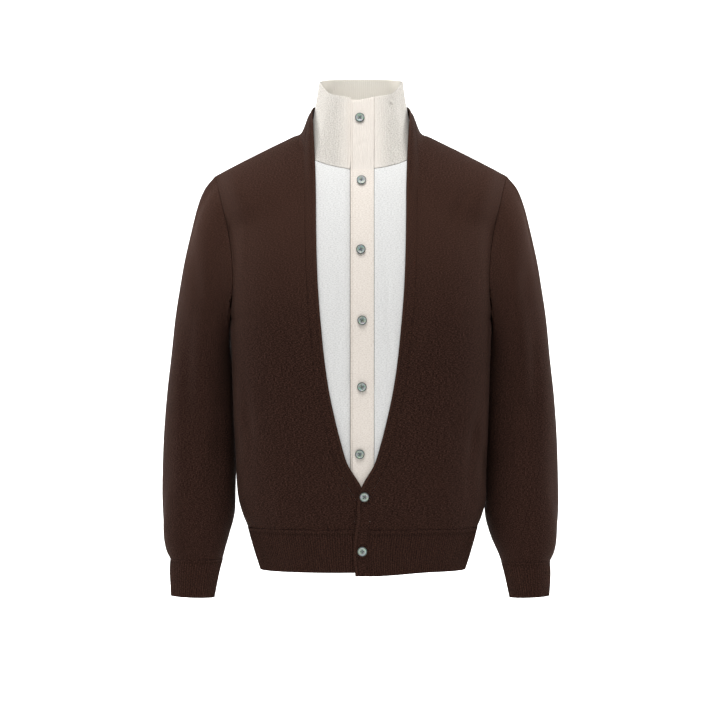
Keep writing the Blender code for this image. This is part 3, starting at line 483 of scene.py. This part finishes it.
    # painted highlight: the collar's back is lighter, as light falls into the collar's opening
    if lit_back:
        tone = blend(band(where.outputs["Y"], *BACK_HIGHLIGHT_DEPTHS), tone, lit_back)
    links.new(tone, shader.inputs["Base Color"])
    rough = maths("MULTIPLY_ADD", fibres, ROUGH_VARIES, ROUGH_LEAST)
    links.new(rough, shader.inputs["Roughness"])
    bump = nodes.new("ShaderNodeBump")
    bump.inputs["Strength"].default_value = relief
    bump.inputs["Distance"].default_value = BUMP_DEEP
    links.new(maths("MULTIPLY_ADD", fibres, FIBRE_BUMP, height), bump.inputs["Height"])
    links.new(bump.outputs[0], shader.inputs["Normal"])
    shader.inputs["Specular IOR Level"].default_value = gloss
    shader.inputs["Sheen Weight"].default_value = sheen
    shader.inputs["Sheen Roughness"].default_value = SHEEN_ROUGH
    shader.inputs["Sheen Tint"].default_value = (*SHEEN, 1) if gloss < MATT else (1, 1, 1, 1)
    print(f"{name}: columns {wale * 1000:.1f} mm, rows {course * 1000:.1f} mm")
    return finish


BROWN, BROWN_LIGHT, BROWN_DARK = (0.0290, 0.0128, 0.0092), (0.064, 0.031, 0.022), (0.0115, 0.0049, 0.0036)
# CHEST_HIGHLIGHT is the share of the light colour painted on the chest as a highlight
BROWN_GLOSS, CHEST_HIGHLIGHT = 0.04, 0.50
RIB_WALE = 0.00175  # two columns of stitches to a rib
brown_knit = knit(
    "brown fine knit", BROWN, BROWN_LIGHT, BROWN_DARK, 0.03, 0.5, gloss=BROWN_GLOSS, chest_highlight=CHEST_HIGHLIGHT
)
brown_rib = knit("brown ribbed knit", BROWN, BROWN_LIGHT, BROWN_DARK, 0.02, 0.5, gloss=BROWN_GLOSS, wale=RIB_WALE)
brown_band = knit(
    "brown band knit", BROWN, BROWN_LIGHT, BROWN_DARK, 0.03, 0.5, gloss=BROWN_GLOSS, chest_highlight=CHEST_HIGHLIGHT
)
white_jersey = knit("white jersey", (0.79, 0.79, 0.775), (0.84, 0.84, 0.83), (0.66, 0.66, 0.65), 0.03, 0.3)
CREAM, CREAM_LIGHT, CREAM_DARK = (0.68, 0.65, 0.60), (0.76, 0.73, 0.68), (0.47, 0.44, 0.40)
# COLLAR_WARM_HIGHLIGHT is the placket's warm hue, made lighter as a painted highlight on the collar front's middle
COLLAR_WARM_HIGHLIGHT, COLLAR_BACK_HIGHLIGHT, PLACKET_WARM = (0.83, 0.775, 0.71), (0.84, 0.80, 0.72), (0.77, 0.715, 0.655)
cream_rib = knit(
    "cream ribbed knit",
    CREAM,
    CREAM_LIGHT,
    CREAM_DARK,
    0.04,
    0.4,
    wale=RIB_WALE,
    warm=COLLAR_WARM_HIGHLIGHT,
    # painted highlight on the collar's back
    lit_back=COLLAR_BACK_HIGHLIGHT,
)
cream_placket = knit(
    "cream placket knit", (0.84, 0.775, 0.71), (0.87, 0.81, 0.74), (0.72, 0.65, 0.58), 0.03, 0.25, warm=PLACKET_WARM
)

# %% [markdown]
# ## The body of the cardigan
#
# The back goes round from one side seam to the other and up to the shoulders. Each front goes from its side seam to
# the band. Two long soft creases run up from the hem at the sides, where the waistband pulls the knit in, and some
# more lie across the back.

# %% Back and fronts
KNIT_THICK = 0.0018
BODY_ROWS, BACK_COLUMNS, FRONT_COLUMNS = 150, 132, 54
BACK_CREASES = [
    # x, height, length, width, lean, bend, depth
    (0.055, -0.420, 0.150, 0.012, 8, 0.010, -0.0030),
    (-0.085, -0.470, 0.110, 0.014, -14, -0.012, -0.0028),
    (0.125, -0.500, 0.080, 0.010, 24, 0.008, -0.0024),
    (-0.020, -0.150, 0.060, 0.020, 70, 0.010, -0.0022),
    (0.070, -0.545, 0.030, 0.012, -12, 0.003, 0.0022),
    (-0.045, -0.548, 0.028, 0.011, 6, 0.002, 0.0020),
    (-0.130, -0.540, 0.035, 0.010, 14, 0.003, 0.0022),
]
LEFT_CREASES = [
    (0.163, -0.475, 0.070, 0.006, 7, 0.004, -0.0022),
    (0.150, -0.110, 0.050, 0.008, 28, 0.006, -0.0016),
    (0.0868, -0.050, 0.042, 0.0042, -2, 0.000, -0.0018),
    (0.128, -0.555, 0.028, 0.009, -4, 0.002, 0.0016),
    (0.078, -0.560, 0.026, 0.010, 5, -0.002, 0.0014),
    (0.040, -0.500, 0.060, 0.012, -28, 0.006, -0.0012),
]
RIGHT_CREASES = [
    (-0.165, -0.430, 0.080, 0.007, -5, -0.004, -0.0018),
    (-0.070, -0.560, 0.026, 0.009, -6, 0.002, 0.0015),
    (-0.120, -0.558, 0.030, 0.010, 4, 0.002, 0.0015),
    (-0.045, -0.500, 0.060, 0.012, 26, -0.006, -0.0013),
    (-0.0878, -0.027, 0.016, 0.0034, -14, 0.001, -0.0032),
    (-0.0845, -0.062, 0.032, 0.0042, -4, 0.000, -0.0012),
]
for node, across, table in (
    ("back", BACK_COLUMNS, BACK_CREASES),
    ("front_left", FRONT_COLUMNS, LEFT_CREASES),
    ("front_right", FRONT_COLUMNS, RIGHT_CREASES),
):
    grid = finer(grid_of(node), BODY_ROWS, across)
    grid += facing(grid) * creases(grid[..., 0], grid[..., 2], table)[..., None]
    cloth(node, grid, KNIT_THICK, brown_knit)

# %% [markdown]
# ## Sleeves and cuffs
#
# A sleeve is a tube, so its rows are rings. It hangs straight down, and its weight pulls long troughs along the
# front, beside the body. Above the cuff the knit gathers a little. The places of the creases are the way round
# the sleeve from its front, as a length along the ring, and the height.
#
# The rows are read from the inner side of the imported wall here, and moved out again to where the cloth shows.

# %% Sleeves
SLEEVE_ROWS, SLEEVE_COLUMNS = 140, 84
SLEEVE_LIFT = 0.0020  # from the wall's inner side out to the cloth
SLEEVE_CREASES = {
    "sleeve_right": [
        # round, height, length, width, lean, bend, depth
        (-0.018, -0.330, 0.170, 0.010, 2, 0.004, -0.0018),
        (0.034, -0.330, 0.170, 0.011, 0, -0.003, -0.0015),
        (-0.030, -0.115, 0.050, 0.007, 12, 0.004, -0.0022),
        (0.030, -0.480, 0.100, 0.012, -6, 0.006, -0.0016),
        (-0.070, -0.560, 0.060, 0.012, 14, 0.004, -0.0018),
        (0.105, -0.420, 0.120, 0.014, 9, 0.006, -0.0024),
        (0.140, -0.560, 0.060, 0.012, -16, 0.004, -0.0020),
    ],
    "sleeve_left": [
        (0.020, -0.300, 0.160, 0.009, -3, -0.004, -0.0018),
        (-0.050, -0.320, 0.130, 0.017, 0, 0.002, 0.0050),
        (0.036, -0.150, 0.070, 0.007, -4, -0.004, -0.0022),
        (-0.020, -0.420, 0.110, 0.011, 8, 0.006, -0.0020),
        (0.060, -0.550, 0.060, 0.012, -14, 0.004, -0.0018),
        (-0.110, -0.400, 0.120, 0.014, -9, 0.006, -0.0024),
        (-0.145, -0.570, 0.050, 0.012, 18, 0.004, -0.0020),
    ],
}


def round_sleeve(grid):
    """How far round the sleeve each point is from its front, in metres, towards the wearer's left."""
    middle = grid.mean(axis=1, keepdims=True)
    angle = np.arctan2(grid[..., 0] - middle[..., 0], middle[..., 1] - grid[..., 1])
    return angle * np.linalg.norm((grid - middle)[..., :2], axis=-1)


for node, table in SLEEVE_CREASES.items():
    grid = finer(grid_of(node, inner=True, tube=True), SLEEVE_ROWS, SLEEVE_COLUMNS, tube=True)
    grid += facing(grid, True) * (SLEEVE_LIFT + creases(round_sleeve(grid), grid[..., 2], table))[..., None]
    cloth(node, grid, KNIT_THICK, brown_knit, tube=True)

# %% [markdown]
# ## Ribs
#
# The waistband, the cuffs and the collar are knitted in ribs: a stitch that stands out, then one that lies back.
# They repeat every 3.5 mm here. The same wave goes through the whole thickness, because the back of a rib is the
# front of a furrow, and it flattens towards a seam. The imported pieces have coarser ribs on their outer side, so
# the plain inner side is read, and moved out.
# The same wave also paints the tops of the ribs lighter and the furrows darker, as painted light and shade.

# %% A ribbed sheet
RIB = 0.0035
RIB_COLUMNS = 6  # columns of points for each rib
FULL_RIB = 0.5  # the share of its height that a rib gains with each row from the seam
SEAM_RIDGE = (1.0, 0.55, -0.25)  # the height of the seam's ridge on its first rows, as a share
SEAM_PAINTED_LIGHT = (-0.1, 0.3, -0.9)  # and their painted light and shade: light on the ridge, shade in the dip beside it


def ribbed(grid, up, height, tube=False, lift=0.0, foot=False, seam=0.0, seam_light=SEAM_PAINTED_LIGHT):
    """A finer sheet with upright ribs, moved outwards by lift, and the painted light and shade of each point, lighter
    on a rib's top and darker in its furrow. The seam, with its raised ridge and the painted light and shade of its
    first rows, is at the top, or at the foot."""
    middle = grid[len(grid) // 2]
    if tube:
        middle = np.concatenate([middle, middle[:1]])
    ribs = round(along(middle, 0)[-1] / RIB)
    grid = finer(grid, up, ribs * RIB_COLUMNS, tube)
    wave = np.cos(2 * math.pi * np.arange(grid.shape[1]) / RIB_COLUMNS)[None, :]
    from_seam = np.arange(len(grid)) if foot else np.arange(len(grid))[::-1]
    flat = np.minimum(1, from_seam * FULL_RIB)[:, None]
    beyond = (0.0,) * (len(grid) - len(SEAM_RIDGE))
    ridge = seam * np.array(SEAM_RIDGE + beyond)[from_seam][:, None]
    print(f"{ribs} ribs of {RIB * 1000:.1f} mm")
    shape = grid + facing(grid, tube) * (lift + ridge + height * wave * flat)[..., None]
    # painted light and shade along the seam's first rows
    line = np.array(seam_light + beyond)[from_seam][:, None]
    return shape, wave * flat + line


# %% Waistband and cuffs
RIB_THICK, RIB_ROWS, RIB_HEIGHT, RIB_LIFT, RIB_SEAM = 0.0022, 20, 0.00036, 0.0024, 0.0003
RIB_SHADE = 0.5  # how much of a brown rib's painted light and shade shows
for node in ("hem_back", "hem_front_left", "hem_front_right", "cuff_left", "cuff_right"):
    tube = node.startswith("cuff")
    grid = grid_of(node, inner=True, tube=tube)
    shape, painted_shading = ribbed(grid, RIB_ROWS, RIB_HEIGHT, tube, RIB_LIFT, seam=RIB_SEAM)
    cloth(node, shape, RIB_THICK, brown_rib, tube, painted_shading=painted_shading * RIB_SHADE)

# %% [markdown]
# ## The front band
#
# A narrow band of the same knit goes up each V edge and round the neck. Its free edge is folded and rolls a little
# outwards, which catches the light, and a painted highlight along it makes that a fine light line, with painted
# shade in the groove beside it.

# %% Bands
BAND_ACROSS, BAND_ROWS = 16, 240
# Across the band, from its free edge: how far it stands out, in millimetres, and its painted light and shade: a
# painted highlight on the rolled edge and painted shade in the groove beside it.
BAND_OUT = ((0, -0.2), (1, 0.35), (3, 0.45), (4, 0.05), (5, -0.2), (7, 0.05), (13, 0.05), (15, 0.0), (16, -0.05))
BAND_HIGHLIGHT_AND_SHADE = ((0, 0.1), (1, 0.6), (3, 0.5), (4.6, -0.35), (6, 0))
BAND_PROFILE, BAND_PAINTED_SHADING = (np.interp(np.arange(BAND_ACROSS + 1), *zip(*table)) for table in (BAND_OUT, BAND_HIGHLIGHT_AND_SHADE))
for node in ("band_left", "band_right"):
    step = 1 if node == "band_left" else -1
    grid = finer(grid_of(node), BAND_ROWS, BAND_ACROSS)
    grid += facing(grid) * (BAND_PROFILE[::step] / 1000)[None, :, None]
    # the rolled edge gets a painted highlight and the groove beside it painted shade
    cloth(node, grid, KNIT_THICK, brown_band, painted_shading=BAND_PAINTED_SHADING[::step][None, :])

# %% [markdown]
# ## The off-white front
#
# Two jersey panels fill the V behind the bands, and two strips of a denser knit close over each other down the
# middle. The upper strip carries the buttonholes and the lower one the buttons.

# %% Panels and plackets
PANEL_CREASES = {
    "insert_left": [
        (0.0395, -0.292, 0.048, 0.0035, -4, 0.003, -0.0016),
        (0.0450, -0.280, 0.050, 0.0045, -4, 0.003, 0.0009),
        (0.0240, -0.395, 0.036, 0.0035, -13, 0.003, -0.0016),
        (0.0300, -0.385, 0.036, 0.0040, -13, 0.003, 0.0009),
        (0.0330, -0.150, 0.070, 0.0060, -3, 0.003, -0.0006),
    ],
    "insert_right": [
        (-0.0330, -0.300, 0.080, 0.0070, 4, 0.003, -0.0009),
        (-0.0450, -0.180, 0.070, 0.0070, 2, 0.003, 0.0007),
        (-0.0300, -0.430, 0.060, 0.0050, 9, 0.003, -0.0010),
    ],
    "placket_top": [
        # x, height, length, width, lean, bend, depth
        (-0.0005, -0.0245, 0.0085, 0.0016, 61, 0.001, -0.0009),
    ],
    "placket_under": [],
}
PANEL_ROWS = 150
PANEL_COLUMNS = {"insert_left": 44, "insert_right": 44, "placket_top": 54, "placket_under": 16}
PLACKET_THICK, JERSEY_THICK = 0.0014, 0.0012
PLACKET_RIB, PLACKET_SHADE = 0.00022, 0.2  # the height of the ribs on the upper strip's top, and their painted light and shade
EDGE_SUNK, EDGE_WIDE = 0.0020, 0.004  # the panel under the lap sinks this much, this near its edge
COLLAR_FOOT, COLLAR_FOOT_END = -0.0635, -0.0565  # the ribs of the collar's front half fade out between these heights
for node, table in PANEL_CREASES.items():
    strip = node.startswith("placket")
    grid = finer(grid_of(node), PANEL_ROWS, PANEL_COLUMNS[node])
    push, painted_shading = creases(grid[..., 0], grid[..., 2], table), None
    if node == "placket_top":
        above = np.clip((grid[..., 2] - COLLAR_FOOT) / (COLLAR_FOOT_END - COLLAR_FOOT), 0, 1)
        wave = np.cos(2 * math.pi * np.arange(PANEL_COLUMNS[node] + 1) / RIB_COLUMNS)[None, :]
        push, painted_shading = push + PLACKET_RIB * wave * above, PLACKET_SHADE * wave * above
    if node == "insert_right":
        push -= EDGE_SUNK * np.exp(-(((grid[..., 0] - grid[:, -1:, 0]) / EDGE_WIDE) ** 2))
    grid += facing(grid) * push[..., None]
    if strip:
        cloth(node, grid, PLACKET_THICK, cream_placket, painted_shading=painted_shading)
    else:
        cloth(node, grid, JERSEY_THICK, white_jersey, painted_shading=painted_shading)

# %% [markdown]
# ## The collar
#
# The collar stands up round the neck. Its ribs run upright and show on the inside too, at the back. It is sewn to
# the panels in a raised seam.

# %% Collar
COLLAR_THICK, COLLAR_ROWS, COLLAR_RIB, COLLAR_LIFT = 0.0020, 40, 0.00026, 0.0022
# the collar's seam rows get a painted highlight, where the raised seam catches the light
COLLAR_SEAM, COLLAR_SEAM_HIGHLIGHT = 0.0004, (0.9, 1.2, 0.2)
COLLAR_FRONT = 0.03  # the front's shapes come in over this depth, forwards from the middle
COLLAR_FADE = 0.85  # the share of a rib's painted light and shade that is lost at the front
LAP_SUNK, LAP_AT, LAP_WIDE = 0.0016, 0.0165, 0.004  # the half under the lap sinks beside the placket
COLLAR_CLOSER = 0.0002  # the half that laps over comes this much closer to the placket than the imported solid
COLLAR_CREASES = [
    (0.0450, 0.0370, 0.0140, 0.0048, 4, 0.001, -0.0017),
    (-0.0300, -0.0100, 0.0300, 0.0060, -8, 0.002, -0.0006),
]
grid = grid_of("collar", inner=True)
shape, painted_shading = ribbed(
    grid, COLLAR_ROWS, COLLAR_RIB, lift=COLLAR_LIFT, foot=True, seam=COLLAR_SEAM, seam_light=COLLAR_SEAM_HIGHLIGHT
)
front = np.clip(-shape[..., 1] / COLLAR_FRONT, 0, 1)
push = front * creases(shape[..., 0], shape[..., 2], COLLAR_CREASES)
push -= LAP_SUNK * np.exp(-(((shape[..., 0] + LAP_AT) / LAP_WIDE) ** 2)) * front
shape += facing(shape) * push[..., None]
first = 0 if shape[0, 0, 0] > 0 else -1
shape[:, first, 0] -= COLLAR_CLOSER
cloth("collar", shape, COLLAR_THICK, cream_rib, painted_shading=painted_shading * (1.0 - COLLAR_FADE * front))

# %% [markdown]
# ## Buttons
#
# A button like this is turned from shell: a flat disc with a raised ring, a dished middle and four drilled holes.
# So it starts as a cylinder. Insets of its face make the ring and the dish, a small bevel breaks the edges, and
# four cutters drill the holes. Two short stitches of thread cross in the middle and hold it to the cloth. One
# button is modelled, and every place gets a copy, turned a little differently as sewn buttons are.

# %% One button
BUTTON_RADIUS, BUTTON_DEEP, BUTTON_SIDES = 0.0069, 0.0026, 40
HOLE_SPREAD, HOLE_RADIUS, HOLE_SIDES = 0.0021, 0.00085, 12
DRILL_LONG = 0.008
RING_INSETS = ((0.0007, 0.0), (0.0011, 0.0), (0.0006, -0.0005), (0.0004, -0.0001))  # inwards, and up or down
EDGE_BROKEN, SHARP = 0.0003, math.radians(35)


def add_cylinder(radius, depth, place, sides, turn=(0, 0, 0)):
    bpy.ops.mesh.primitive_cylinder_add(vertices=sides, radius=radius, depth=depth, location=place, rotation=turn)
    added = bpy.context.object
    bpy.ops.object.transform_apply(location=True, rotation=True, scale=True)
    return added


def join_all(pieces):
    bpy.ops.object.select_all(action="DESELECT")
    for piece in pieces:
        piece.select_set(True)
    bpy.context.view_layer.objects.active = pieces[0]
    bpy.ops.object.join()
    return pieces[0]


button = add_cylinder(BUTTON_RADIUS, BUTTON_DEEP, (0, 0, BUTTON_DEEP / 2), BUTTON_SIDES)
bpy.ops.object.mode_set(mode="EDIT")
bpy.ops.mesh.select_mode(type="FACE")
bpy.ops.mesh.select_all(action="DESELECT")
bpy.ops.object.mode_set(mode="OBJECT")
for face in button.data.polygons:
    face.select = face.normal.z > 0.9
bpy.ops.object.mode_set(mode="EDIT")
for inset, sink in RING_INSETS:
    bpy.ops.mesh.inset(thickness=inset, depth=0)
    bpy.ops.transform.translate(value=(0, 0, sink))
bpy.ops.object.mode_set(mode="OBJECT")
edge = button.modifiers.new("broken edges", "BEVEL")
edge.width, edge.segments, edge.limit_method, edge.angle_limit = EDGE_BROKEN, 2, "ANGLE", SHARP
bpy.ops.object.modifier_apply(modifier="broken edges")
drills = []
for k in range(4):
    turn = math.radians(45 + 90 * k)
    spot = (HOLE_SPREAD * math.cos(turn), HOLE_SPREAD * math.sin(turn), BUTTON_DEEP / 2)
    drills.append(add_cylinder(HOLE_RADIUS, DRILL_LONG, spot, HOLE_SIDES))
cutter = join_all(drills)
cut = button.modifiers.new("holes", "BOOLEAN")
cut.operation, cut.object = "DIFFERENCE", cutter
bpy.ops.object.select_all(action="DESELECT")
bpy.context.view_layer.objects.active = button
button.select_set(True)
bpy.ops.object.modifier_apply(modifier="holes")
bpy.data.objects.remove(cutter, do_unlink=True)
radius = [math.hypot(v.co.x, v.co.y) / BUTTON_RADIUS for v in button.data.vertices]
button.data.attributes.new("ring", "FLOAT", "POINT").data.foreach_set("value", radius)
print("button:", len(button.data.polygons), "faces")

# %% Shell and thread
PEARL_SCALE, PEARL_SHARE, PEARL_ROUGH = 330.0, 0.55, (0.18, 0.42)
TWIST_SCALE = 1800.0
THREAD_DARK, THREAD_LIGHT = (0.03, 0.045, 0.04, 1), (0.13, 0.16, 0.14, 1)
shell = bpy.data.materials.new("shell button")
shell.use_nodes = True
nodes, links = shell.node_tree.nodes, shell.node_tree.links
shade = nodes["Principled BSDF"]
pearl = nodes.new("ShaderNodeTexNoise")
pearl.inputs["Scale"].default_value = PEARL_SCALE
pearl.inputs["Detail"].default_value = 3.0
links.new(nodes.new("ShaderNodeTexCoord").outputs["Object"], pearl.inputs["Vector"])
across = nodes.new("ShaderNodeAttribute")
across.attribute_name = "ring"
ring = nodes.new("ShaderNodeValToRGB")
RING_COLOURS = [
    # distance from the middle as a share of the radius, and the colour there
    (0.0, (0.22, 0.28, 0.255)),
    (0.56, (0.27, 0.33, 0.30)),
    (0.64, (0.38, 0.43, 0.40)),
    (0.76, (0.38, 0.43, 0.40)),
    # painted shadow: the outer rim is dark, as a shadow ring round the button's edge
    (0.86, (0.08, 0.10, 0.09)),
]
for k, (place, colour) in enumerate(RING_COLOURS):
    stop = ring.color_ramp.elements[k] if k < 2 else ring.color_ramp.elements.new(place)
    stop.position, stop.color = place, (*colour, 1)
links.new(across.outputs["Fac"], ring.inputs["Fac"])
cloud = nodes.new("ShaderNodeMix")
cloud.data_type, cloud.blend_type = "RGBA", "OVERLAY"
cloud.inputs[0].default_value = PEARL_SHARE
links.new(ring.outputs["Color"], cloud.inputs[6])
links.new(pearl.outputs["Color"], cloud.inputs[7])
links.new(cloud.outputs[2], shade.inputs["Base Color"])
rough = nodes.new("ShaderNodeMapRange")
rough.inputs["To Min"].default_value, rough.inputs["To Max"].default_value = PEARL_ROUGH
links.new(pearl.outputs["Fac"], rough.inputs["Value"])
links.new(rough.outputs["Result"], shade.inputs["Roughness"])
shade.inputs["Coat Weight"].default_value = 0.3
thread = bpy.data.materials.new("button thread")
thread.use_nodes = True
nodes, links = thread.node_tree.nodes, thread.node_tree.links
twist = nodes.new("ShaderNodeTexNoise")
twist.inputs["Scale"].default_value = TWIST_SCALE
links.new(nodes.new("ShaderNodeTexCoord").outputs["Object"], twist.inputs["Vector"])
dye = nodes.new("ShaderNodeValToRGB")
dye.color_ramp.elements[0].color, dye.color_ramp.elements[1].color = THREAD_DARK, THREAD_LIGHT
links.new(twist.outputs["Fac"], dye.inputs["Fac"])
links.new(dye.outputs["Color"], nodes["Principled BSDF"].inputs["Base Color"])
nodes["Principled BSDF"].inputs["Roughness"].default_value = 0.9

# %% Stitches, and a copy for each place
button.data.materials.clear()
button.data.materials.append(shell)
THREAD_RADIUS, THREAD_SPARE, THREAD_SUNK, THREAD_SIDES = 0.00033, 0.0004, 0.0004, 8
FIRST_TURN, NEXT_TURN = 12, 37  # degrees by which the first button is turned, and each one more than the last
OFF_CLOTH = 0.0001
stitches = []
for turn in (45, 135):
    length, place = 2 * HOLE_SPREAD + THREAD_SPARE, (0, 0, BUTTON_DEEP - THREAD_SUNK)
    lying = (math.radians(90), 0, math.radians(turn - 90))
    bar = add_cylinder(THREAD_RADIUS, length, place, THREAD_SIDES, lying)
    bar.data.materials.append(thread)
    stitches.append(bar)
button = join_all([button, *stitches])
bpy.ops.object.shade_smooth_by_angle(angle=SHARP)
BUTTONS = [name for name in sorted(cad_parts) if "button" in name]
for k, name in enumerate(BUTTONS):
    points = joined(name)[0]
    middle = (points.min(axis=0) + points.max(axis=0)) / 2
    out = np.linalg.svd(points - points.mean(axis=0))[2][2]
    out *= -np.sign(out[1])
    deep = (points - middle) @ out
    facing_out = Vector(out).to_track_quat("Z", "X").to_matrix().to_4x4()
    turned = Matrix.Rotation(math.radians(FIRST_TURN + NEXT_TURN * k), 4, "Z")
    copy = bpy.data.objects.new(name + "_shell", button.data.copy())
    copy.data.transform(Matrix.Translation(Vector(middle + out * (deep.min() + OFF_CLOTH))) @ facing_out @ turned)
    bpy.context.scene.collection.objects.link(copy)
    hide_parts(name)
    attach(copy, "root")
bpy.data.objects.remove(button, do_unlink=True)
print("buttons:", len(BUTTONS))

# %% [markdown]
# ## What each sheet was cut to
#
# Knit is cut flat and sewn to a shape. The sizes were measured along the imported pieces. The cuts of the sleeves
# and the cuffs go all round.

# %% Flat sizes
CUTS = {
    # width and length in metres, area in square metres where the cut isn't a rectangle, what it is sewn to
    "back": (0.580, 0.680, 0.278, ["front_left_cloth", "front_right_cloth"]),
    "front_left": (0.267, 0.685, 0.116, ["back_cloth", "band_left_cloth"]),
    "front_right": (0.267, 0.685, 0.116, ["back_cloth", "band_right_cloth"]),
    "sleeve_left": (0.555, 0.595, 0.165, ["back_cloth", "front_left_cloth"]),
    "sleeve_right": (0.555, 0.595, 0.165, ["back_cloth", "front_right_cloth"]),
    "cuff_left": (0.240, 0.058, None, ["sleeve_left_cloth"]),
    "cuff_right": (0.240, 0.058, None, ["sleeve_right_cloth"]),
    "hem_back": (0.450, 0.066, None, ["back_cloth"]),
    "hem_front_left": (0.260, 0.069, None, ["front_left_cloth"]),
    "hem_front_right": (0.255, 0.066, None, ["front_right_cloth"]),
    "band_left": (0.029, 0.880, 0.0161, ["front_left_cloth", "hem_front_left_cloth"]),
    "band_right": (0.029, 0.880, 0.0159, ["front_right_cloth", "hem_front_right_cloth"]),
    "insert_left": (0.070, 0.515, 0.0231, ["band_left_cloth"]),
    "insert_right": (0.074, 0.515, 0.0247, ["band_right_cloth"]),
    "placket_top": (0.0315, 0.600, None, ["insert_left_cloth"]),
    "placket_under": (0.0270, 0.597, None, ["insert_right_cloth"]),
    "collar": (0.440, 0.111, None, ["insert_left_cloth", "insert_right_cloth"]),
}
SLOTS = {"collar": "cream_rib", "insert": "white_jersey", "placket": "cream_placket", "band": "brown_rib"}
SLOTS |= {"hem": "brown_rib", "cuff": "brown_rib"}
for name, (width, length, area, sewn_to) in CUTS.items():
    SLOTS.get(name.split("_")[0], "brown_knit")
    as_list(sewn_to)
print("sheets declared:", len(CUTS))

# %% [markdown]
# ## Floor and light
#
# A plain pale floor that curves up behind, and soft studio light from the front and above.

# %% Floor
FLOOR, BACK, COVE = -0.9, 5.0, 2.5  # its height, how far behind it turns up, and the radius of the turn
FLOOR_WIDE, WALL_HIGH, COVE_STEPS = 24, 6, 12
FLOOR_COLOUR = (0.95, 0.95, 0.95, 1)
bpy.ops.object.select_all(action="DESELECT")
bpy.ops.mesh.primitive_plane_add(size=1, location=(0, 0, FLOOR))
floor = bpy.context.object
floor.name = "floor"
floor.scale = (FLOOR_WIDE, 2 * BACK, 1)
bpy.ops.object.transform_apply(location=True, rotation=True, scale=True)
bpy.ops.object.mode_set(mode="EDIT")
bpy.ops.mesh.select_mode(type="EDGE")
bpy.ops.mesh.select_all(action="DESELECT")
bpy.ops.object.mode_set(mode="OBJECT")
for edge in floor.data.edges:
    edge.select = all(floor.data.vertices[k].co.y > BACK - 0.01 for k in edge.vertices)
bpy.ops.object.mode_set(mode="EDIT")
bend = 90 / COVE_STEPS  # degrees that the floor turns up with each step
reach = 2 * COVE * math.sin(math.radians(bend / 2))
for step in range(COVE_STEPS):
    turn = math.radians((step + 0.5) * bend)
    move = (0, reach * math.cos(turn), reach * math.sin(turn))
    bpy.ops.mesh.extrude_region_move(TRANSFORM_OT_translate={"value": move})
bpy.ops.mesh.extrude_region_move(TRANSFORM_OT_translate={"value": (0, 0, WALL_HIGH)})
bpy.ops.object.mode_set(mode="OBJECT")
bpy.ops.object.shade_smooth()
white = bpy.data.materials.new("pale floor")
white.use_nodes = True
white.node_tree.nodes["Principled BSDF"].inputs["Base Color"].default_value = FLOOR_COLOUR
white.node_tree.nodes["Principled BSDF"].inputs["Roughness"].default_value = 1.0
floor.data.materials.append(white)
floor.select_set(False)

# %% Light
SKY = 0.33  # the strength of the even light from all round
LAMPS = (
    # name, place, aim, size in metres, power in watts
    ("key", (-0.15, -1.15, 1.85), (0, 0, -0.25), 1.4, 55),
    ("backdrop left", (-3.0, 1.5, 1.5), (-0.5, 6.0, -0.4), 2.5, 480),
    ("backdrop right", (3.0, 1.5, 1.5), (0.5, 6.0, -0.4), 2.5, 480),
)
world = bpy.data.worlds.new("studio")
world.use_nodes = True
world.node_tree.nodes["Background"].inputs["Color"].default_value = (1, 1, 1, 1)
world.node_tree.nodes["Background"].inputs["Strength"].default_value = SKY
bpy.context.scene.world = world
bpy.context.scene.view_settings.view_transform = "Standard"
for name, place, aim, size, power in LAMPS:
    bpy.ops.object.light_add(type="AREA", location=place)
    lamp = bpy.context.object
    lamp.name = name
    lamp.data.size = size
    lamp.data.energy = power
    lamp.rotation_euler = (Vector(aim) - Vector(place)).to_track_quat("-Z", "Y").to_euler()

# %% Update the view layer
bpy.context.view_layer.update()
